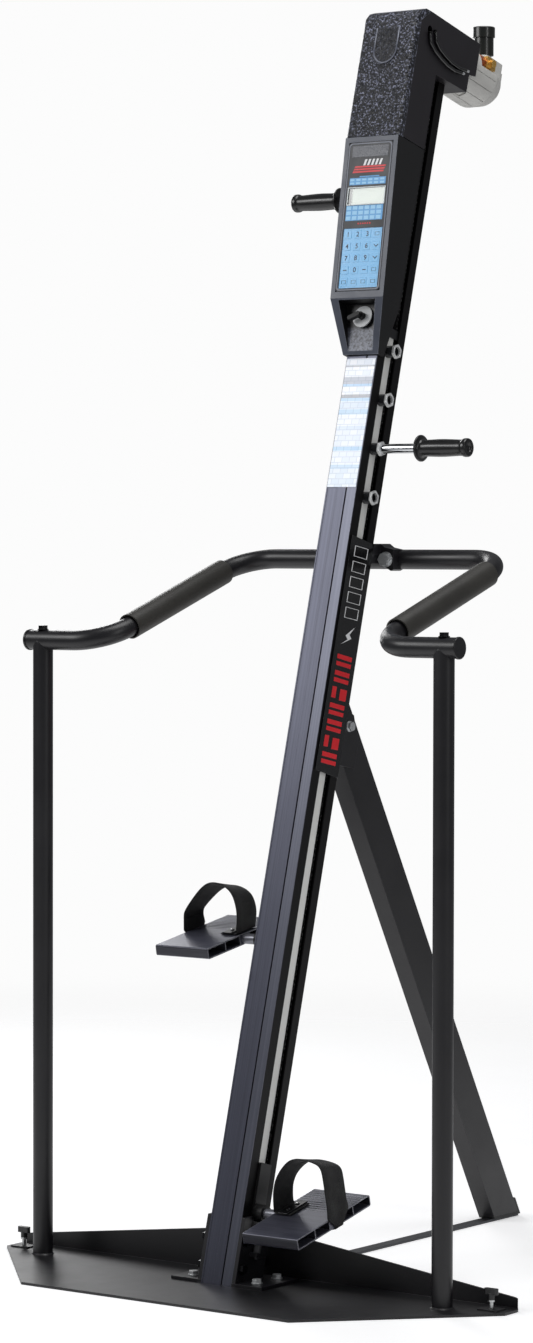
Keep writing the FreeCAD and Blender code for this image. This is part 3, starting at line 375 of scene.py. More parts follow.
# The round boss under each nut is blackened, the nut itself bright.
boss_side = add(dark_zinc, "Math", {"operation": "ABSOLUTE"},
                in0=add(dark_zinc, "SeparateXYZ", Vector=place).outputs["X"])
boss = add(dark_zinc, "Math", {"operation": "LESS_THAN"}, in0=boss_side, in1=BOSS_OUT)
boss_colour = add(dark_zinc, "Mix", {"data_type": "RGBA"}, in0=boss, in6=colour,
                  in7=linear("3a3b3e"))
feed(shader, "Base Color", boss_colour)
give(dark_zinc, "sockets_right", "sockets_left")
carriage_black, *_ = finish("cast_black_carriage", "0b0b0c", "151516", "38393b", 0.5, 3.0, 0.15)
give(carriage_black, "carriage_right", "carriage_left")
give(moulded_black, "top_shoe_right", "top_shoe_left")


# ---- pedals --------------------------------------
# Aluminium extrusions sawn to width, black anodised, with open cells at the ends and a
# ribbed patch behind the strap. They tilt on turned steel shafts.
# The edges are rubbed to bare metal, and the near-white worn colour with strong wear also draws a
# painted highlight along them.
pedal_anodised, shader, place, colour, _ = finish("black_anodised_pedal", "42434f", "595a68",
                                                  "e2e4ea", 0.36, 2.0, 0.03, metallic=0.4,
                                                  patch_mm=80.0, wear_and_highlight=1.8, round_mm=1.6)
# Rubbing by shoes leaves streaks across the tread, 2 mm apart and up to 60 mm long.
streak_place = add(pedal_anodised, "Mapping", Vector=place, Scale=(14.0, 420.0, 420.0))
streaks = add(pedal_anodised, "TexNoise", Vector=streak_place, Scale=1.0, Detail=3.0)
streak_share = add(pedal_anodised, "MapRange", Value=streaks, From_Min=0.45, From_Max=0.8,
                   To_Max=0.35)
scuffed = add(pedal_anodised, "Mix", {"data_type": "RGBA"}, in0=streak_share, in6=colour,
              in7=linear("8a8c98"))
# The faces turned to the front are painted darker as painted shade.
flat_normal = add(pedal_anodised, "NewGeometry").outputs["True Normal"]
lengthwise = add(pedal_anodised, "SeparateXYZ", Vector=flat_normal).outputs["Y"]
front_facing = add(pedal_anodised, "Math", {"operation": "LESS_THAN"}, in0=lengthwise, in1=-0.85)
painted_shade_share = add(pedal_anodised, "Math", {"operation": "MULTIPLY"}, in0=front_facing, in1=0.75)
scuffed_with_painted_shade = add(pedal_anodised, "Mix", {"data_type": "RGBA"}, in0=painted_shade_share, in6=scuffed,
               in7=linear("17171b"))
feed(shader, "Base Color", scuffed_with_painted_shade)
give(pedal_anodised, "pedal_right", "pedal_left")
# Turned steel bar: fine rings round the axis and a film of oil.
turned_steel, *_ = finish("turned_steel", "6f7078", "8b8c94", "c2c3c8", 0.36, 1.5, 0.02,
                          metallic=0.5, patch_mm=30.0)
give(turned_steel, "pedal_shaft_right", "pedal_shaft_left", "idler", "sprocket")


# ---- foot straps ---------------------------------
# Woven black polyester webbing, 62 mm wide and 2.2 mm thick, arched over the shoe. One end
# is riveted under the outer edge and the other under a plate on the tread.
STRAP_W = 62.0
STRAP_T = 2.2
STRAP_MID = 11.0             # along the pedal, ahead of the shaft
TILTS = {"right": 13.0, "left": 10.0}
CROWN = 1.2                  # bulge of the arch over its width
FLAP_T = 1.4
webbing, shader, *_ = finish("black_polyester_webbing", "030304", "070708", "17181c", 0.82, 1.0,
                             0.1, patch_mm=30.0, wear_and_highlight=0.9)
shader.inputs["Sheen Weight"].default_value = 0.12
shader.inputs["Sheen Roughness"].default_value = 0.4
# Ribs across the webbing are 1.6 mm apart, drawn at 2.6 mm to show.
weave_map = add(webbing, "TexCoord").outputs["UV"]
ribs = add(webbing, "TexWave", {"wave_type": "BANDS", "bands_direction": "X"}, Vector=weave_map,
           Scale=20.0, Distortion=0.6, Detail=1.0)
picks = add(webbing, "TexWave", {"wave_type": "BANDS", "bands_direction": "Y"}, Vector=weave_map,
            Scale=26.0, Distortion=0.4, Detail=1.0)
cloth = add(webbing, "Math", {"operation": "MULTIPLY"}, in0=ribs, in1=picks)
weave = add(webbing, "Bump", Height=cloth, Strength=0.9, Distance=0.0006)
feed(shader, "Normal", weave)


def rounded_line(points, rounds):
    """Corner cutting that keeps both ends: a soft line through a bent band."""
    for _ in range(rounds):
        new = [points[0]]
        for a, b in zip(points, points[1:]):
            new.append(a * 0.75 + b * 0.25)
            new.append(a * 0.25 + b * 0.75)
        points = new + [points[-1]]
    return points


# Width of the webbing against the distance from its lower end. It is flat under its riveted
# plate, gathered where it goes round the edge of the pedal and fans out above it.
GATHERED = ((0, STRAP_W), (29, STRAP_W), (41, 24), (48, 24), (57, 42), (70, 68), (88, STRAP_W))
TAPER = 0.24                 # the arch is lower on the toe side, shaped by the shoe
TAPER_FROM = 16.0            # only above this height over the pedal


def width_at(distance):
    """Width of the webbing at this distance along its centre line."""
    for (d0, w0), (d1, w1) in zip(GATHERED, GATHERED[1:]):
        if distance < d1:
            return w0 + (w1 - w0) * (distance - d0) / (d1 - d0)
    return STRAP_W


def skin(rings, ring):
    """Faces round a stack of equal rings of points, closed at both ends."""
    faces = []
    for k in range(rings - 1):
        for j in range(ring):
            a, b = k * ring + j, k * ring + (j + 1) % ring
            faces.append((a, b, b + ring, a + ring))
    faces.append(tuple(range(ring - 1, -1, -1)))
    faces.append(tuple(range((rings - 1) * ring, rings * ring)))
    return faces


def band(path, thick, crown, narrower=0.0):
    """A woven band along an (x, up) path, with soft edges and a slight crown over its width."""
    line = rounded_line([Vector(p) for p in path], 3)
    cross = [(-0.5, -0.2), (-0.5, 0.2), (-0.48, 0.5), (-0.25, 0.5), (0.0, 0.5), (0.25, 0.5),
             (0.48, 0.5), (0.5, 0.2), (0.5, -0.2), (0.48, -0.5), (0.25, -0.5), (0.0, -0.5),
             (-0.25, -0.5), (-0.48, -0.5)]
    points, along = [], [0.0]
    for k, p in enumerate(line):
        ahead = (line[min(k + 1, len(line) - 1)] - line[max(k - 1, 0)]).normalized()
        out = Vector((-ahead.y, ahead.x))
        if k:
            along.append(along[-1] + (p - line[k - 1]).length)
        lift = crown * math.sin(math.pi * k / (len(line) - 1)) ** 2
        width = STRAP_W - narrower if narrower else width_at(along[-1])
        for w, t in cross:
            q = p + out * (t * thick + lift * (1 - 4 * w * w) * 0.5)
            sunk = TAPER * w * max(0.0, q.y - TAPER_FROM)
            points.append((q.x, w * width, q.y - sunk))
    return points, skin(len(line), len(cross)), along


def pedal_frame(side):
    """Pedal coordinates in millimetres (x, along, up) to metres in the frame."""
    low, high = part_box("pedal_shaft_" + side)
    middle = (low + high) / 2
    turn = Matrix.Rotation(math.radians(TILTS[side]), 3, "X")
    way = 1 if side == "right" else -1

    def place(x, y, z):
        tipped = turn @ Vector((0, y, z)) / 1000
        return Vector((way * x / 1000, middle.y + tipped.y, middle.z + tipped.z))
    return place


UNDER = [(170, -12.4), (205, -12.4), (213.5, -12.4), (214.9, -11), (215.2, -5)]
ANCHOR = [(93.2, 20), (93.2, 13.6), (98, 12.4), (130, 12.4)]
ARCHES = {
    "right": [(215.4, 12), (215.2, 50), (215.0, 86), (213, 101), (203, 109), (172, 114), (152, 112),
              (134, 103), (110, 79), (98, 54), (94.5, 34)],
    "left": [(215.6, 12), (215.4, 38), (210, 50), (180, 79), (162, 93), (147, 100), (129, 101.5),
             (109, 96), (94, 84), (87.5, 63), (87.5, 42)],
}
# The free end is doubled back up the outer leg and sewn down with a box of stitches.
FLAP = [(212.9, 6), (213.0, 16), (213.0, 26), (212.8, 34)]


def strap_piece(name, side, woven):
    """One length of webbing on a pedal, its weave laid out along it in tenths of a metre."""
    points, faces, along = woven
    place_on = pedal_frame(side)
    placed = [place_on(x, y + STRAP_MID, z) for x, y, z in points]
    piece = mesh_piece(name + side, placed, faces, webbing, side + "_pedal",
                       smooth=True, mirrored=side == "left")
    chart = piece.data.uv_layers.new(name="webbing")
    ring = len(points) // len(along)
    for loop in piece.data.loops:
        k = loop.vertex_index
        chart.data[loop.index].uv = (along[k // ring] / 100, points[k][1] / 100)
    return piece


for side in ("right", "left"):
    arch = UNDER + ARCHES[side] + ANCHOR
    strap = strap_piece("foot_strap_", side, band(arch, STRAP_T, CROWN))
    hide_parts("strap_" + side)
    strap_piece("strap_flap_", side, band(FLAP, FLAP_T, 0.0, narrower=6.0))

# Clamp plates: blackened sheet steel with bright domed rivets.
clamp_steel, *_ = finish("blackened_clamp_plate", "151517", "242427", "a6a7aa", 0.38, 2.0, 0.05,
                         metallic=0.4, wear_and_highlight=1.2)
give(clamp_steel, "strap_clamps_right", "strap_clamps_left")
rivet_steel, *_ = finish("bright_rivet", "b4b5b7", "d6d7d9", "f0f0f0", 0.22, 1.0, 0.02,
                         metallic=1.0, patch_mm=8.0)


def dome(centre, axis, radius, height, rings=5, segments=20):
    """A rivet head: a shallow cap standing on centre along axis, radius in millimetres."""
    turn = Vector((0, 0, 1)).rotation_difference(axis)
    points = []
    for k in range(rings):
        a = math.pi / 2 * k / (rings - 1) * 0.92
        for j in range(segments):
            b = 2 * math.pi * j / segments
            r = radius * math.cos(a)
            flat_point = Vector((r * math.cos(b), r * math.sin(b), height * math.sin(a)))
            points.append(centre + turn @ flat_point / 1000)
    return points, skin(rings, segments)


def joined(parts):
    """Several (points, faces) as one."""
    points, faces = [], []
    for more, more_faces in parts:
        faces += [tuple(i + len(points) for i in face) for face in more_faces]
        points += more
    return points, faces


# Two rivets on the plate over the tread and two on the plate underneath, which point down.
RIVETS = ((114, -4, 17.1, 1), (114, 26, 17.1, 1), (183.5, -4, -18.1, -1), (183.5, 26, -18.1, -1))
RIVET_R = 3.9
RIVET_H = 1.6
for side in ("right", "left"):
    place_on = pedal_frame(side)
    up = (place_on(0, 0, 1) - place_on(0, 0, 0)).normalized()
    points, faces = joined([dome(place_on(x, y, z), up * way, RIVET_R, RIVET_H)
                            for x, y, z, way in RIVETS])
    mesh_piece("strap_rivets_" + side, points, faces, rivet_steel, side + "_pedal",
               smooth=True)


# ---- handles -------------------------------------
# Chromed steel pins pushed through the sockets, each with a moulded rubber grip: a wide
# thumb flange, a barrel swelling at the palm and a bead with a recessed end.
chrome, *_ = finish("polished_chrome", "c9cbce", "dcdee0", "f2f3f4", 0.08, 6.0, 0.01, metallic=1.0,
                    patch_mm=60.0)
give(chrome, "handle_shaft_right", "handle_shaft_left")
grip_rubber, *_ = finish("moulded_grip_rubber", "09090a", "121213", "2e2e30", 0.30, 1.6, 0.06,
                         coat=0.15, patch_mm=40.0)
# The turned outline as (distance from the flange's face, radius).
GRIP_LINE = [(0, 9.4), (0, 22.6), (0.5, 24.6), (1.6, 25.5), (3.4, 25.5), (4.6, 24.7), (5.2, 22.5),
             (6.2, 18.8), (8.4, 16.4), (12, 15.8), (26, 16.3), (44, 17.0), (56, 17.0), (72, 16.4),
             (86, 15.7), (93, 15.4), (98, 15.5), (100, 16.2), (101.5, 17.3), (103.5, 17.8),
             (108.6, 17.8), (110.6, 17.2), (111.8, 15.6), (112, 13), (111.9, 9.8), (110.8, 8.5),
             (108.2, 8.0), (108.0, 0.4)]
GRIP_TURNS = 56
BARREL_FROM = 12.0
BARREL_TO = 93.0
FLUTES = 12
FLUTE_DEPTH = 0.18
for side, way in (("right", 1), ("left", -1)):
    low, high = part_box("grip_" + side)
    middle = (low + high) / 2
    start = low.x if way > 0 else high.x
    points, faces = [], []
    for along_x, radius in GRIP_LINE:
        # Shallow finger flutes fade out towards both ends of the barrel.
        share = (along_x - BARREL_FROM) / (BARREL_TO - BARREL_FROM)
        depth = FLUTE_DEPTH * math.sin(math.pi * min(1.0, max(0.0, share)))
        for j in range(GRIP_TURNS):
            a = 2 * math.pi * j / GRIP_TURNS
            r = radius - depth * (1 + math.cos(FLUTES * a)) / 2
            points.append(Vector((start + way * along_x / 1000,
                                  middle.y + r * math.cos(a) / 1000,
                                  middle.z + r * math.sin(a) / 1000)))
    for k in range(len(GRIP_LINE) - 1):
        for j in range(GRIP_TURNS):
            a, b = k * GRIP_TURNS + j, k * GRIP_TURNS + (j + 1) % GRIP_TURNS
            faces.append((a, b, b + GRIP_TURNS, a + GRIP_TURNS))
    last = (len(GRIP_LINE) - 1) * GRIP_TURNS
    faces.append(tuple(range(last, last + GRIP_TURNS)))
    grip = mesh_piece("hand_grip_" + side, points, faces, grip_rubber, side + "_handle",
                      smooth=True, mirrored=way < 0)
    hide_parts("grip_" + side)


# ---- chain ---------------------------------------
# Roller chain of 9.5 mm pitch joining the two sides over the top sprocket and round the
# idler at the foot: pairs of pressed plates on hardened pins, oiled and dark.
CHAIN_R = 17.0
CHAIN_N = 71.0
TOP_S = 2430.0
LOW_S = 48.0
LINKS = 512
PLATE_R = 2.9
WAIST_R = 2.1
PLATE_T = 0.8
OUTER_PLATES = 3.0           # outside of the plates from the chain's middle
INNER_PLATES = 2.2
ROLLER_R = 2.4
ROLLER_HALF = 1.4
chain_steel, *_ = finish("oiled_chain_steel", "3a3a3b", "6f6f70", "a5a5a6", 0.36, 2.0, 0.05,
                         metallic=0.9, patch_mm=20.0)


def chain_point(t):
    """A point of the loop, t millimetres from the foot of its right run: (x, s)."""
    run, bend = TOP_S - LOW_S, math.pi * CHAIN_R
    t %= 2 * (run + bend)
    if t < run:
        return Vector((CHAIN_R, LOW_S + t))
    if t < run + bend:
        a = (t - run) / CHAIN_R
        return Vector((CHAIN_R * math.cos(a), TOP_S + CHAIN_R * math.sin(a)))
    if t < 2 * run + bend:
        return Vector((-CHAIN_R, TOP_S - (t - run - bend)))
    a = math.pi + (t - 2 * run - bend) / CHAIN_R
    return Vector((CHAIN_R * math.cos(a), LOW_S + CHAIN_R * math.sin(a)))


def prism_between(outline, n0, n1, points, faces):
    """Adds a prism over an (x, s) outline between two distances from the column's face."""
    start, count = len(points), len(outline)
    for n in (n0, n1):
        points += [lean_point(p.x, n, p.y) for p in outline]
    faces.append(tuple(range(start, start + count)))
    faces.append(tuple(range(start + 2 * count - 1, start + count - 1, -1)))
    for k in range(count):
        k1 = (k + 1) % count
        faces.append((start + k1, start + k, start + count + k, start + count + k1))


points, faces = [], []
loop_length = 2 * (TOP_S - LOW_S + math.pi * CHAIN_R)
for k in range(LINKS):
    a = chain_point(loop_length * k / LINKS)
    b = chain_point(loop_length * (k + 1) / LINKS)
    along_link = (b - a).normalized()
    wide = Vector((-along_link.y, along_link.x))
    waist = (a + b) / 2
    outline = []
    for centre, way in ((b, 1), (a, -1)):
        for turn in (-75, -25, 25, 75):
            c = math.radians(turn)
            outline.append(centre + (along_link * math.cos(c) + wide * math.sin(c)) * way * PLATE_R)
        outline.append(waist + wide * way * WAIST_R)
    outer = OUTER_PLATES if k % 2 else INNER_PLATES
    for n0 in (CHAIN_N - outer, CHAIN_N + outer - PLATE_T):
        prism_between(outline, n0, n0 + PLATE_T, points, faces)
    roller = [a + Vector((math.cos(c), math.sin(c))) * ROLLER_R
              for c in [math.pi / 3 * j for j in range(6)]]
    prism_between(roller, CHAIN_N - ROLLER_HALF, CHAIN_N + ROLLER_HALF, points, faces)
links = mesh_piece("roller_chain", points, faces, chain_steel, "frame")
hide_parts("chain")


# ---- head shell and hood -------------------------
# Bent steel side plates, powder coated, with a vacuum formed hood over the front and top.
# The hood is ABS sheet with a coarse leather grain that sparkles where the light catches, the sparkle
# painted on as light flecks: painted glints.
shell_powder, *_ = finish("head_shell_powder_coat", "141216", "1e1b20", "4c4c50", 0.46, 4.0, 0.05)
give(shell_powder, "head_shell", "pump_mount")
FIELD_FRONT = -0.0806        # metres, only the raised field lies ahead of this
hood, shader, place, colour, relief = finish("grained_abs_hood", "0e0f14", "15161d", "84889a", 0.34,
                                             3.0, 0.05, patch_mm=60.0, wear_and_highlight=1.1, round_mm=1.6)
# Haircell grain is about 3 mm across, drawn at 6 mm to show.
pebbles = add(hood, "TexVoronoi", {"feature": "SMOOTH_F1"}, Vector=place, Scale=1000 / 6.0,
              Smoothness=0.6, Randomness=1.0)
fine = add(hood, "TexNoise", Vector=place, Scale=1000 / 4.0, Detail=3.0, Roughness=0.7)
grained = add(hood, "Math", {"operation": "MULTIPLY_ADD"}, in0=fine, in1=0.7, in2=pebbles)
hide = add(hood, "Bump", Height=grained, Strength=1.0, Distance=0.0030, Normal=relief)
feed(shader, "Normal", hide)
# Painted glints: light flecks on the crests of the fine grain stand in for its sparkle.
painted_glint = add(hood, "MapRange", Value=fine, From_Min=0.55, From_Max=0.61, To_Max=0.9)
# The raised U-shaped field is smoother than the rest, with fewer painted glints.
on_hood = add(hood, "SeparateXYZ", Vector=column_space(hood, place))
field_front = add(hood, "Math", {"operation": "LESS_THAN"}, in0=on_hood.outputs["Y"],
                  in1=FIELD_FRONT)
grain_share = add(hood, "MapRange", Value=field_front, To_Min=1.0, To_Max=0.25)
painted_glint_share = add(hood, "Math", {"operation": "MULTIPLY"}, in0=painted_glint, in1=grain_share)
grain_with_painted_glints = add(hood, "Mix", {"data_type": "RGBA"}, in0=painted_glint_share, in6=colour, in7=linear("8a8ea4"))
feed(shader, "Base Color", grain_with_painted_glints)
give(hood, "head_cover")

# A plain raised rim, moulded with the hood, runs round the U-shaped field, its light grey a painted
# highlight.
rim_painted_highlight, *_ = finish("hood_rim_painted_highlight", "4a4d58", "7a7e8c", "b0b4c4", 0.30, 2.0, 0.05, patch_mm=40.0)
RIM_R = 1.6
BADGE_N = -81.2
BADGE_HALF = 26.0
BADGE_TOP = 2426.0
BADGE_ARC = 2380.0


def half_round(line, radius, to_point):
    """A bead of half-round section along a line of (a, b), standing out from its ground."""
    section = [(-radius, 0), (-radius * 0.7, radius * 0.7), (0, radius), (radius * 0.7, radius * 0.7),
               (radius, 0), (0, -radius * 0.4)]
    points = []
    for k, p in enumerate(line):
        ahead = (line[min(k + 1, len(line) - 1)] - line[max(k - 1, 0)]).normalized()
        for w, out in section:
            points.append(to_point(p.x - ahead.y * w, p.y + ahead.x * w, out))
    return points, skin(len(line), len(section))


badge_line = [Vector((-BADGE_HALF, BADGE_TOP))]
badge_line += [Vector((BADGE_HALF * math.cos(a), BADGE_ARC + BADGE_HALF * math.sin(a)))
               for a in [math.pi * (1 + k / 18) for k in range(19)]]
badge_line.append(Vector((BADGE_HALF, BADGE_TOP)))
points, faces = half_round(badge_line, RIM_R, lambda x, s, out: lean_point(x, BADGE_N - out, s))
mesh_piece("hood_badge_rim", points, faces, rim_painted_highlight, "frame", smooth=True)


# ---- console housing -----------------------------
# Injection moulded in dark plastic. The bezel and the rim of the pocket are satin blue grey, the
# sides and the side walls of the pocket are black, and the pocket floor is grained. The back wall of
# the pocket is painted black above as painted shade.
FACE_N = -48.5
FACE_S = 1903.0
FACE_TILT = 5.8


def face_point(x, t, depth=0.0):
    """Display coordinates in millimetres (across, up, in front when negative)."""
    a = math.radians(FACE_TILT)
    return lean_point(x, FACE_N + depth * math.cos(a) - t * math.sin(a),
                      FACE_S + depth * math.sin(a) + t * math.cos(a))


POCKET_TOP = 1.8885          # metres along the column
SLATE_FROM = 1.846
SLATE_FULL = 1.834
bezel, shader, place, colour, _ = finish("console_bezel_abs", "3c404b", "4c515e", "b4b9c6", 0.42,
                                         3.0, 0.06, patch_mm=50.0, wear_and_highlight=1.5, round_mm=1.8)
upright = add(bezel, "SeparateXYZ", Vector=column_space(bezel, place))
flat_normal = add(bezel, "NewGeometry").outputs["True Normal"]
turned_normal = add(bezel, "VectorRotate", {"rotation_type": "X_AXIS"}, Vector=flat_normal,
                    Angle=math.radians(LEAN))
parts = add(bezel, "SeparateXYZ", Vector=turned_normal)
frontal = add(bezel, "Math", {"operation": "LESS_THAN"}, in0=parts.outputs["Y"], in1=-0.80)
# The back wall of the pocket stands upright behind its slanting rim: painted black above as painted
# shade, and grained slate where it runs out to the front below.
low_part = add(bezel, "Math", {"operation": "LESS_THAN"}, in0=upright.outputs["Z"],
               in1=POCKET_TOP)
upright_wall = add(bezel, "Math", {"operation": "GREATER_THAN"}, in0=parts.outputs["Z"], in1=-0.2)
pocket = add(bezel, "Math", {"operation": "MULTIPLY"}, in0=low_part, in1=upright_wall)
open_front = add(bezel, "Math", {"operation": "SUBTRACT"}, in0=1.0, in1=pocket)
shown = add(bezel, "Math", {"operation": "MULTIPLY"}, in0=frontal, in1=open_front)
leather = add(bezel, "TexNoise", Vector=place, Scale=1000 / 5.0, Detail=3.0, Roughness=0.7)
grained_slate = add(bezel, "Mix", {"data_type": "RGBA"},
                    in0=add(bezel, "MapRange", Value=leather, From_Min=0.4, From_Max=0.6),
                    in6=linear("33353e"), in7=linear("7c808d"))
# Painted shade: the back wall darkens to black above SLATE_FROM, its grained slate showing below
# SLATE_FULL.
below_painted_shade = add(bezel, "MapRange", {"interpolation_type": "SMOOTHSTEP"}, Value=upright.outputs["Z"],
               From_Min=SLATE_FROM, From_Max=SLATE_FULL)
wall_share = add(bezel, "Math", {"operation": "MULTIPLY"}, in0=below_painted_shade, in1=frontal)
black_sides_and_painted_shade = add(bezel, "Mix", {"data_type": "RGBA"}, in0=wall_share, in6=linear("0b0b0d"),
             in7=grained_slate)
two_tone = add(bezel, "Mix", {"data_type": "RGBA"}, in0=shown, in6=black_sides_and_painted_shade, in7=colour)
feed(shader, "Base Color", two_tone)
give(bezel, "console_housing")

# Polycarbonate overlay, printed from behind: dark grey with a fine matt texture.
overlay, *_ = finish("printed_overlay", "1c1d22", "26272d", "6b6d76", 0.46, 2.0, 0.05,
                     patch_mm=70.0)
give(overlay, "console_panel")
lcd_glass, shader, place, colour, _ = finish("lcd_glass", "a9b5ab", "bcc7bb", "d4dcd2", 0.12, 20.0,
                                             0.02, coat=0.6, patch_mm=60.0)
# The bezel throws a shadow down the left edge of the window.
edge_x = add(lcd_glass, "SeparateXYZ", Vector=place)
shade = add(lcd_glass, "MapRange", Value=edge_x.outputs["X"], From_Min=-0.036, From_Max=-0.031,
            To_Min=0.85, To_Max=0.0)
shadowed = add(lcd_glass, "Mix", {"data_type": "RGBA"}, in0=shade, in6=colour, in7=linear("23262a"))
feed(shader, "Base Color", shadowed)
give(lcd_glass, "lcd_window")
key_film, *_ = finish("light_blue_key_film", "4fa6dd", "66b6e8", "a0d6f4", 0.38, 2.0, 0.06,
                      coat=0.2, patch_mm=80.0, wear_and_highlight=0.5)
give(key_film, "keypad")
board_green, *_ = finish("epoxy_circuit_board", "0f3d22", "19532f", "5a8a62", 0.35, 2.0, 0.05)
give(board_green, "circuit_board")


# ---- print on the console ------------------------
# Inks on the overlay: a plain striped block, two blue fields with rows of cells, and a
# keypad with generic figures and simple arrows.
def on_display(x, t, level):
    return face_point(x, t, -level)


def printed(name, outlines, mat, low=0.0, high=0.25):
    """Ink on the overlay, from low to high in front of it."""
    points, faces = slab(outlines, on_display, low, high)
    mesh_piece(name, points, faces, mat, "frame")


def rectangle(x0, x1, t0, t1):
    return [(x0, t0), (x1, t0), (x1, t1), (x0, t1)]


blue_ink, *_ = finish("mid_blue_ink", "3f8fce", "5aa6de", "8cc6ee", 0.4, 1.5, 0.03, patch_mm=12.0)
pale_ink, *_ = finish("pale_blue_ink", "7fbfe9", "9bd0f2", "c4e5f8", 0.4, 1.5, 0.03, patch_mm=12.0)
navy_ink, *_ = finish("navy_ink", "0f1d30", "182a42", "3a506c", 0.4, 1.5, 0.03, patch_mm=12.0)
silver_trim, *_ = finish("silver_display_frame", "8b9092", "a0a5a7", "d0d4d4", 0.32, 2.0, 0.03,
                         metallic=0.4, patch_mm=20.0)
# The overlay's rim is a light slate border, 2.4 mm wide with rounded corners.
rim_ink, *_ = finish("slate_border", "5a5e6a", "6a6f7c", "9a9fac", 0.4, 2.0, 0.04, patch_mm=30.0)
PANEL_EDGE = 51.0
PANEL_MID = 147.0            # up the display
PANEL_HALF = 145.0
BORDER_W = 2.4
rim_corners = ((PANEL_EDGE - 8, 284.5, 0), (8 - PANEL_EDGE, 284.5, 90), (8 - PANEL_EDGE, 9.5, 180),
               (PANEL_EDGE - 8, 9.5, 270))
rim_line = []
for x, t, turn in rim_corners:
    for a in range(0, 91, 15):
        c = math.radians(a + turn)
        rim_line.append(Vector((x + 7 * math.cos(c), t + 7 * math.sin(c))))
inner_line = [(p.x * (1 - BORDER_W / PANEL_EDGE),
               PANEL_MID + (p.y - PANEL_MID) * (1 - BORDER_W / PANEL_HALF)) for p in rim_line]
rim_strips = [[tuple(rim_line[k - 1]), tuple(rim_line[k]), inner_line[k], inner_line[k - 1]]
              for k in range(len(rim_line))]
printed("display_slate_border", rim_strips, rim_ink, 0.0, 0.6)
patch_grain, *_ = finish("grained_name_field", "3a3c43", "5a5d66", "8b8e97", 0.3, 1.6, 0.5,
                         patch_mm=5.0)
printed("display_grain_field", [rectangle(-42, 42, 264, 286)], patch_grain)
stripes = [[(-14 + k * 9, 247), (-9 + k * 9, 247), (-5 + k * 9, 259), (-10 + k * 9, 259)]
           for k in range(5)]
printed("display_white_stripes", stripes, white_ink)
bars = [[(-38 + k * 2, 233 + k * 5), (34 + k * 2, 233 + k * 5), (36 + k * 2, 236.4 + k * 5),
         (-36 + k * 2, 236.4 + k * 5)] for k in range(3)]
printed("display_red_bars", bars, red_ink)
printed("display_blue_field_top", [rectangle(-42, 42, 209, 223), rectangle(-20, 26, 224, 226.4)],
        blue_ink)
printed("display_blue_field_low", [rectangle(-44, 42, 139, 169)], blue_ink)
cells_low = [rectangle(-43 + 14 * c, -32 + 14 * c, 140.5 + 10 * r, 148 + 10 * r)
             for r in range(3) for c in range(6)]
cells_low += [rectangle(-41 + 14 * c, -31 + 14 * c, 210.5 + 6.4 * r, 214.6 + 6.4 * r)
              for r in range(2) for c in range(6)]
printed("display_cells", cells_low, pale_ink, 0.1, 0.35)
dashes = [rectangle(-14 + 5.4 * k, -11 + 5.4 * k, 131.5, 134.5) for k in range(6)]
printed("display_red_dashes", dashes, red_ink)
lcd_frame = [rectangle(-44, 44, 203, 204.6), rectangle(-44, 44, 169.4, 171),
             rectangle(-44, -42, 171, 203), rectangle(42, 44, 171, 203)]
printed("lcd_frame", lcd_frame, silver_trim, 0.2, 1.2)
key_border = [rectangle(-45, 45, 124, 125), rectangle(-45, 45, 6, 7),
              rectangle(-46, -45, 6, 125), rectangle(45, 46, 6, 125)]
printed("key_border", key_border, navy_ink)


def figure(text, x, t, size):
    """One generic figure as a flat printed mesh on the key film."""
    curve = bpy.data.curves.new("key_figure", "FONT")
    curve.body = text
    curve.size = size / 1000
    curve.align_x = "CENTER"
    curve.align_y = "CENTER"
    curve.extrude = 0.0001
    curve.offset = 0.0001
    holder = bpy.data.objects.new("key_figure", curve)
    bpy.context.scene.collection.objects.link(holder)
    bpy.context.view_layer.update()
    mesh = bpy.data.meshes.new_from_object(holder)
    flat_points = [Vector(v.co) for v in mesh.vertices]
    faces = [tuple(p.vertices) for p in mesh.polygons]
    bpy.data.objects.remove(holder)
    bpy.data.meshes.remove(mesh)
    points = [face_point(x + p.x * 1000, t + p.y * 1000, 0.05 - p.z * 1000) for p in flat_points]
    return points, faces


# The grid of keys: three columns of figures and one of signs, in five rows.
KEY_COLUMNS = (-34.0, -11.4, 11.2, 33.8)
KEY_ROWS = (19.0, 42.2, 65.4, 88.6, 111.8)
FIGURE_H = 13.5
figures = [figure(digit, x, t, FIGURE_H) for text, t in zip(("789", "456", "123"), KEY_ROWS[2:])
           for digit, x in zip(text, KEY_COLUMNS)]
figures.append(figure("0", KEY_COLUMNS[1], KEY_ROWS[1], FIGURE_H))
points, faces = joined(figures)
mesh_piece("key_figures", points, faces, navy_ink, "frame")
marks = []
for t in KEY_ROWS[2:4]:
    x = KEY_COLUMNS[3]
    marks.append([(x - 6, t + 2.5), (x - 4, t + 2.5), (x, t - 1), (x + 4, t + 2.5), (x + 6, t + 2.5),
                  (x, t - 3)])
for x in (KEY_COLUMNS[0], KEY_COLUMNS[2]):
    marks.append(rectangle(x - 4, x + 4, 41.4, 43))
box_keys = [(KEY_COLUMNS[3], KEY_ROWS[1]), (KEY_COLUMNS[3], KEY_ROWS[4])]
box_keys += [(x, KEY_ROWS[0]) for x in KEY_COLUMNS]
for x, t in box_keys:
    marks += frame_strips(rectangle(x - 5, x + 5, t - 3.4, t + 3.4), 0.5)
printed("key_marks", marks, navy_ink, 0.0, 0.15)


# ---- console switch ------------------------------
# A light grey printed disc behind a black moulded lever, in the pocket under the panel.
disc_plastic, *_ = finish("light_grey_disc", "b6b8ba", "d2d4d5", "eceded", 0.34, 1.5, 0.03,
                          patch_mm=18.0)
give(disc_plastic, "switch_disc")
lever_plastic, *_ = finish("satin_black_lever", "040405", "09090a", "2a2b30", 0.42, 2.0, 0.03,
                           ior=1.4)
give(lever_plastic, "toggle_knob")


